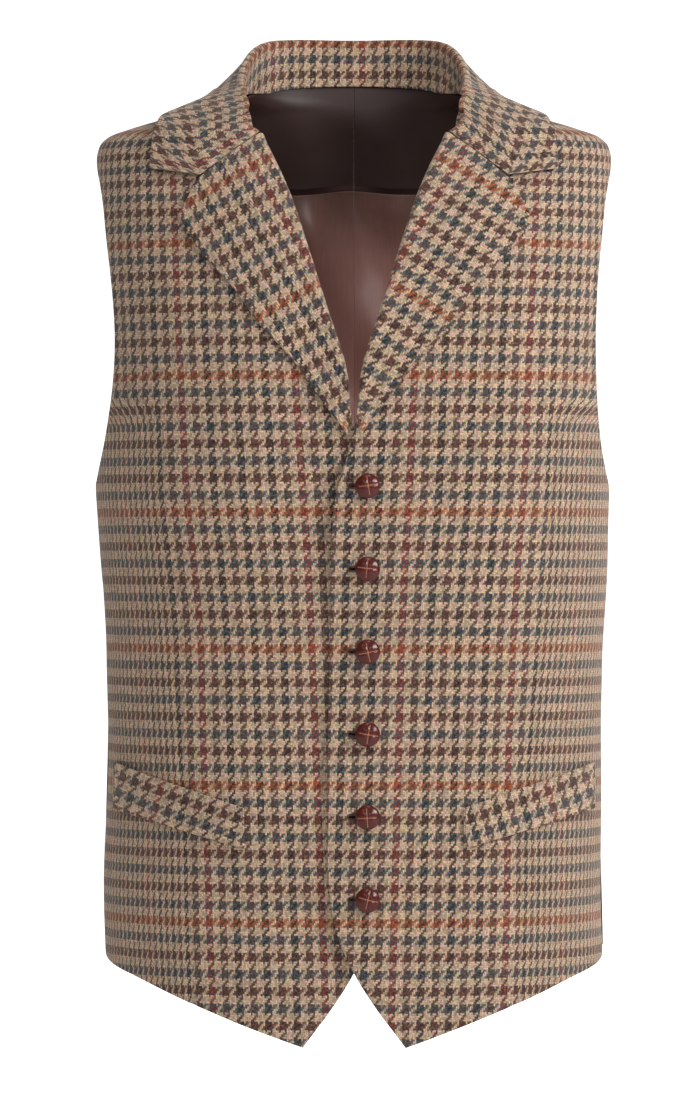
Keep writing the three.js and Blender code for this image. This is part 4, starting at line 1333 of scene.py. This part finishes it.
def thread_material(name, colour):
    material = bpy.data.materials.new(name)
    material.use_nodes = True
    g = Graph(material.node_tree)
    shader = material.node_tree.nodes["Principled BSDF"]
    place = g.node("ShaderNodeTexCoord").outputs["Object"]
    twist = g.node("ShaderNodeTexWave", {"Vector": place, "Scale": 900.0, "Distortion": 1.0},
                   bands_direction="DIAGONAL").outputs["Fac"]
    tone = g.math("MULTIPLY_ADD", twist, 0.5, 0.7)
    grey = g.node("ShaderNodeCombineColor", {0: tone, 1: tone, 2: tone}).outputs[0]
    g.tree.links.new(g.mix(1.0, colour, grey, "MULTIPLY"), shader.inputs["Base Color"])
    bump = g.node("ShaderNodeBump", {"Strength": 0.4, "Distance": 0.0001, "Height": twist})
    g.tree.links.new(bump.outputs[0], shader.inputs["Normal"])
    shader.inputs["Roughness"].default_value = 0.7
    shader.inputs["Sheen Weight"].default_value = 0.2
    return material


thread_brown = thread_material("thread_brown", THREAD_BROWN)
thread_tan = thread_material("thread_tan", THREAD_TAN)


def build_stitches():
    """Geometry Nodes: a stitch at every step of a line."""
    group = bpy.data.node_groups.new("stitches_on_line", "GeometryNodeTree")
    group.interface.new_socket("Geometry", in_out="INPUT", socket_type="NodeSocketGeometry")
    for title, kind, value in (("Pitch", "NodeSocketFloat", 0.003), ("Length", "NodeSocketFloat", 0.002),
                               ("Radius", "NodeSocketFloat", 0.0002), ("Turn", "NodeSocketFloat", 0.0),
                               ("Seed", "NodeSocketInt", 1), ("Material", "NodeSocketMaterial", None)):
        socket = group.interface.new_socket(title, in_out="INPUT", socket_type=kind)
        if value is not None:
            socket.default_value = value
    group.interface.new_socket("Geometry", in_out="OUTPUT", socket_type="NodeSocketGeometry")
    g = Graph(group)
    given = group.nodes.new("NodeGroupInput").outputs
    end = group.nodes.new("NodeGroupOutput")
    line = g.node("GeometryNodeMeshToCurve", {0: given["Geometry"]}).outputs[0]
    resample = group.nodes.new("GeometryNodeResampleCurve")
    if "Mode" in resample.inputs:
        resample.inputs["Mode"].default_value = "Length"
    else:
        resample.mode = "LENGTH"
    g.tree.links.new(line, resample.inputs["Curve"])
    g.tree.links.new(given["Pitch"], resample.inputs["Length"])
    ball = g.node("GeometryNodeMeshUVSphere", {"Segments": 8, "Rings": 6, "Radius": 1.0}).outputs[0]
    tangent = g.node("GeometryNodeInputTangent").outputs[0]
    aligned = g.node("FunctionNodeAlignRotationToVector", {"Vector": tangent}, axis="X").outputs[0]
    jitter = g.node("FunctionNodeRandomValue", {2: -0.12, 3: 0.12, "Seed": given["Seed"]},
                    data_type="FLOAT").outputs[1]
    spin = g.node("FunctionNodeAxisAngleToRotation",
                  {"Axis": (0.0, 1.0, 0.0), "Angle": g.math("ADD", given["Turn"], jitter)}).outputs[0]
    turned = g.node("FunctionNodeRotateRotation", {0: aligned, 1: spin}, rotation_space="GLOBAL").outputs[0]
    half = g.math("MULTIPLY", given["Length"], 0.5)
    size = g.node("ShaderNodeCombineXYZ", {0: half, 1: given["Radius"], 2: given["Radius"]}).outputs[0]
    stitches = g.node("GeometryNodeInstanceOnPoints", {"Points": resample.outputs[0], "Instance": ball,
                                                       "Rotation": turned, "Scale": size}).outputs[0]
    real = g.node("GeometryNodeRealizeInstances", {0: stitches}).outputs[0]
    painted = g.node("GeometryNodeSetMaterial", {"Geometry": real, "Material": given["Material"]}).outputs[0]
    smooth_shade = g.node("GeometryNodeSetShadeSmooth", {0: painted}).outputs[0]
    g.tree.links.new(smooth_shade, end.inputs[0])
    return group


stitch_group = build_stitches()


def sew(name, lines, material, pitch, length, radius, turn=0.0, seed=1):
    """Stitches along lines of points in millimetres, turned into a plain mesh."""
    verts, edges = [], []
    for line in lines:
        first = len(verts)
        verts += [tuple(np.array(p) * MM) for p in line]
        edges += [(first + k, first + k + 1) for k in range(len(line) - 1)]
    data = bpy.data.meshes.new(name)
    data.from_pydata(verts, edges, [])
    piece = bpy.data.objects.new(name, data)
    bpy.context.collection.objects.link(piece)
    modifier = piece.modifiers.new("stitches", "NODES")
    modifier.node_group = stitch_group
    values = {"Pitch": pitch * MM, "Length": length * MM, "Radius": radius * MM, "Turn": turn, "Seed": seed,
              "Material": material}
    for item in stitch_group.interface.items_tree:
        if item.in_out == "INPUT" and item.name in values:
            modifier[item.identifier] = values[item.name]
    bpy.context.view_layer.update()
    result = bpy.data.meshes.new_from_object(piece.evaluated_get(bpy.context.evaluated_depsgraph_get()))
    piece.modifiers.remove(modifier)
    piece.data = result
    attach(piece, "garment")
    print(name, "stitch faces", len(result.polygons))
    return piece


def front_line(points, lift, hand=1):
    """Lifts a line of [x, z] points off the rippled front."""
    x, z = np.array(points, float).T
    p = form_point(angle_at(x, z), z)
    height = front_ripple(p, hand) + lift
    if hand < 0:
        height = height - underlap(x)
    return p + unit(form_gradient(p)) * height[..., None]


holes = [front_line(slot_outline(z, 0.5, 16) + [slot_outline(z, 0.5, 16)[0]], 0.1) for z in button_heights]
sew("buttonhole_stitches", holes, thread_brown, 0.62, 1.5, 0.26, math.pi / 2, 3)
welt_ends = []
for hand in (1, -1):
    for x, low, high in ((WELT["inner"] + 1, WELT["inner_bottom"], WELT["inner_top"]),
                         (WELT["outer"] - 1, WELT["outer_bottom"], WELT["outer_top"])):
        line = [(hand * x, lerp(low + 1.5, high - 1.5, k / 12)) for k in range(13)]
        welt_ends.append(front_line(line, 2.85, hand))
sew("welt_tacks", welt_ends, thread_brown, 1.4, 1.1, 0.16, 0.0, 5)
strap_lines = []
for stations in (LEFT_LIFT, RIGHT_LIFT):
    lift = profile(stations)
    for z in (CINCH_Z - STRAP_WIDTH / 2 + 2, CINCH_Z + STRAP_WIDTH / 2 - 2):
        x = np.linspace(stations[0][0] + 2, stations[-1][0] - 2, 120)
        p = on_back(x, z)
        strap_lines.append(p + unit(form_gradient(p)) * (lift(x) + 0.95)[:, None])
sew("strap_stitches", strap_lines, thread_tan, 2.4, 1.8, 0.14, 0.0, 7)

# %% [markdown]
# ## Brass and the parts kept from the frame
# The buckle, its flap, the button backs and the button threads keep the solids that the engineering
# model gave them. They only need a finish.

# %% Kept parts


def brass_material():
    material = bpy.data.materials.new("aged_brass")
    material.use_nodes = True
    g = Graph(material.node_tree)
    shader = material.node_tree.nodes["Principled BSDF"]
    place = g.node("ShaderNodeTexCoord").outputs["Object"]
    cloud = g.noise(place, 180.0, 4.0, 0.6)
    colour = g.mix(cloud, srgb(150, 122, 72), srgb(98, 78, 46))
    stretched = g.node("ShaderNodeMapping", {"Vector": place, "Scale": (4000, 4000, 200)}).outputs[0]
    scratch = g.noise(stretched, 1.0)
    g.tree.links.new(colour, shader.inputs["Base Color"])
    g.tree.links.new(g.math("MULTIPLY_ADD", cloud, 0.3, 0.2), shader.inputs["Roughness"])
    bump = g.node("ShaderNodeBump", {"Strength": 0.1, "Distance": 0.0001, "Height": scratch})
    g.tree.links.new(bump.outputs[0], shader.inputs["Normal"])
    shader.inputs["Metallic"].default_value = 0.95
    return material


def keep(node_name, material):
    node = frame["nodes"][node_name]
    node.data.materials.clear()
    node.data.materials.append(material)


brass = brass_material()
keep("buckle_frame", brass)
keep("buckle_flap", brass)
for number in range(1, 7):
    keep(f"button_{number}_shank", back_leather)
    keep(f"button_{number}_thread", thread_tan)
print("kept parts painted")
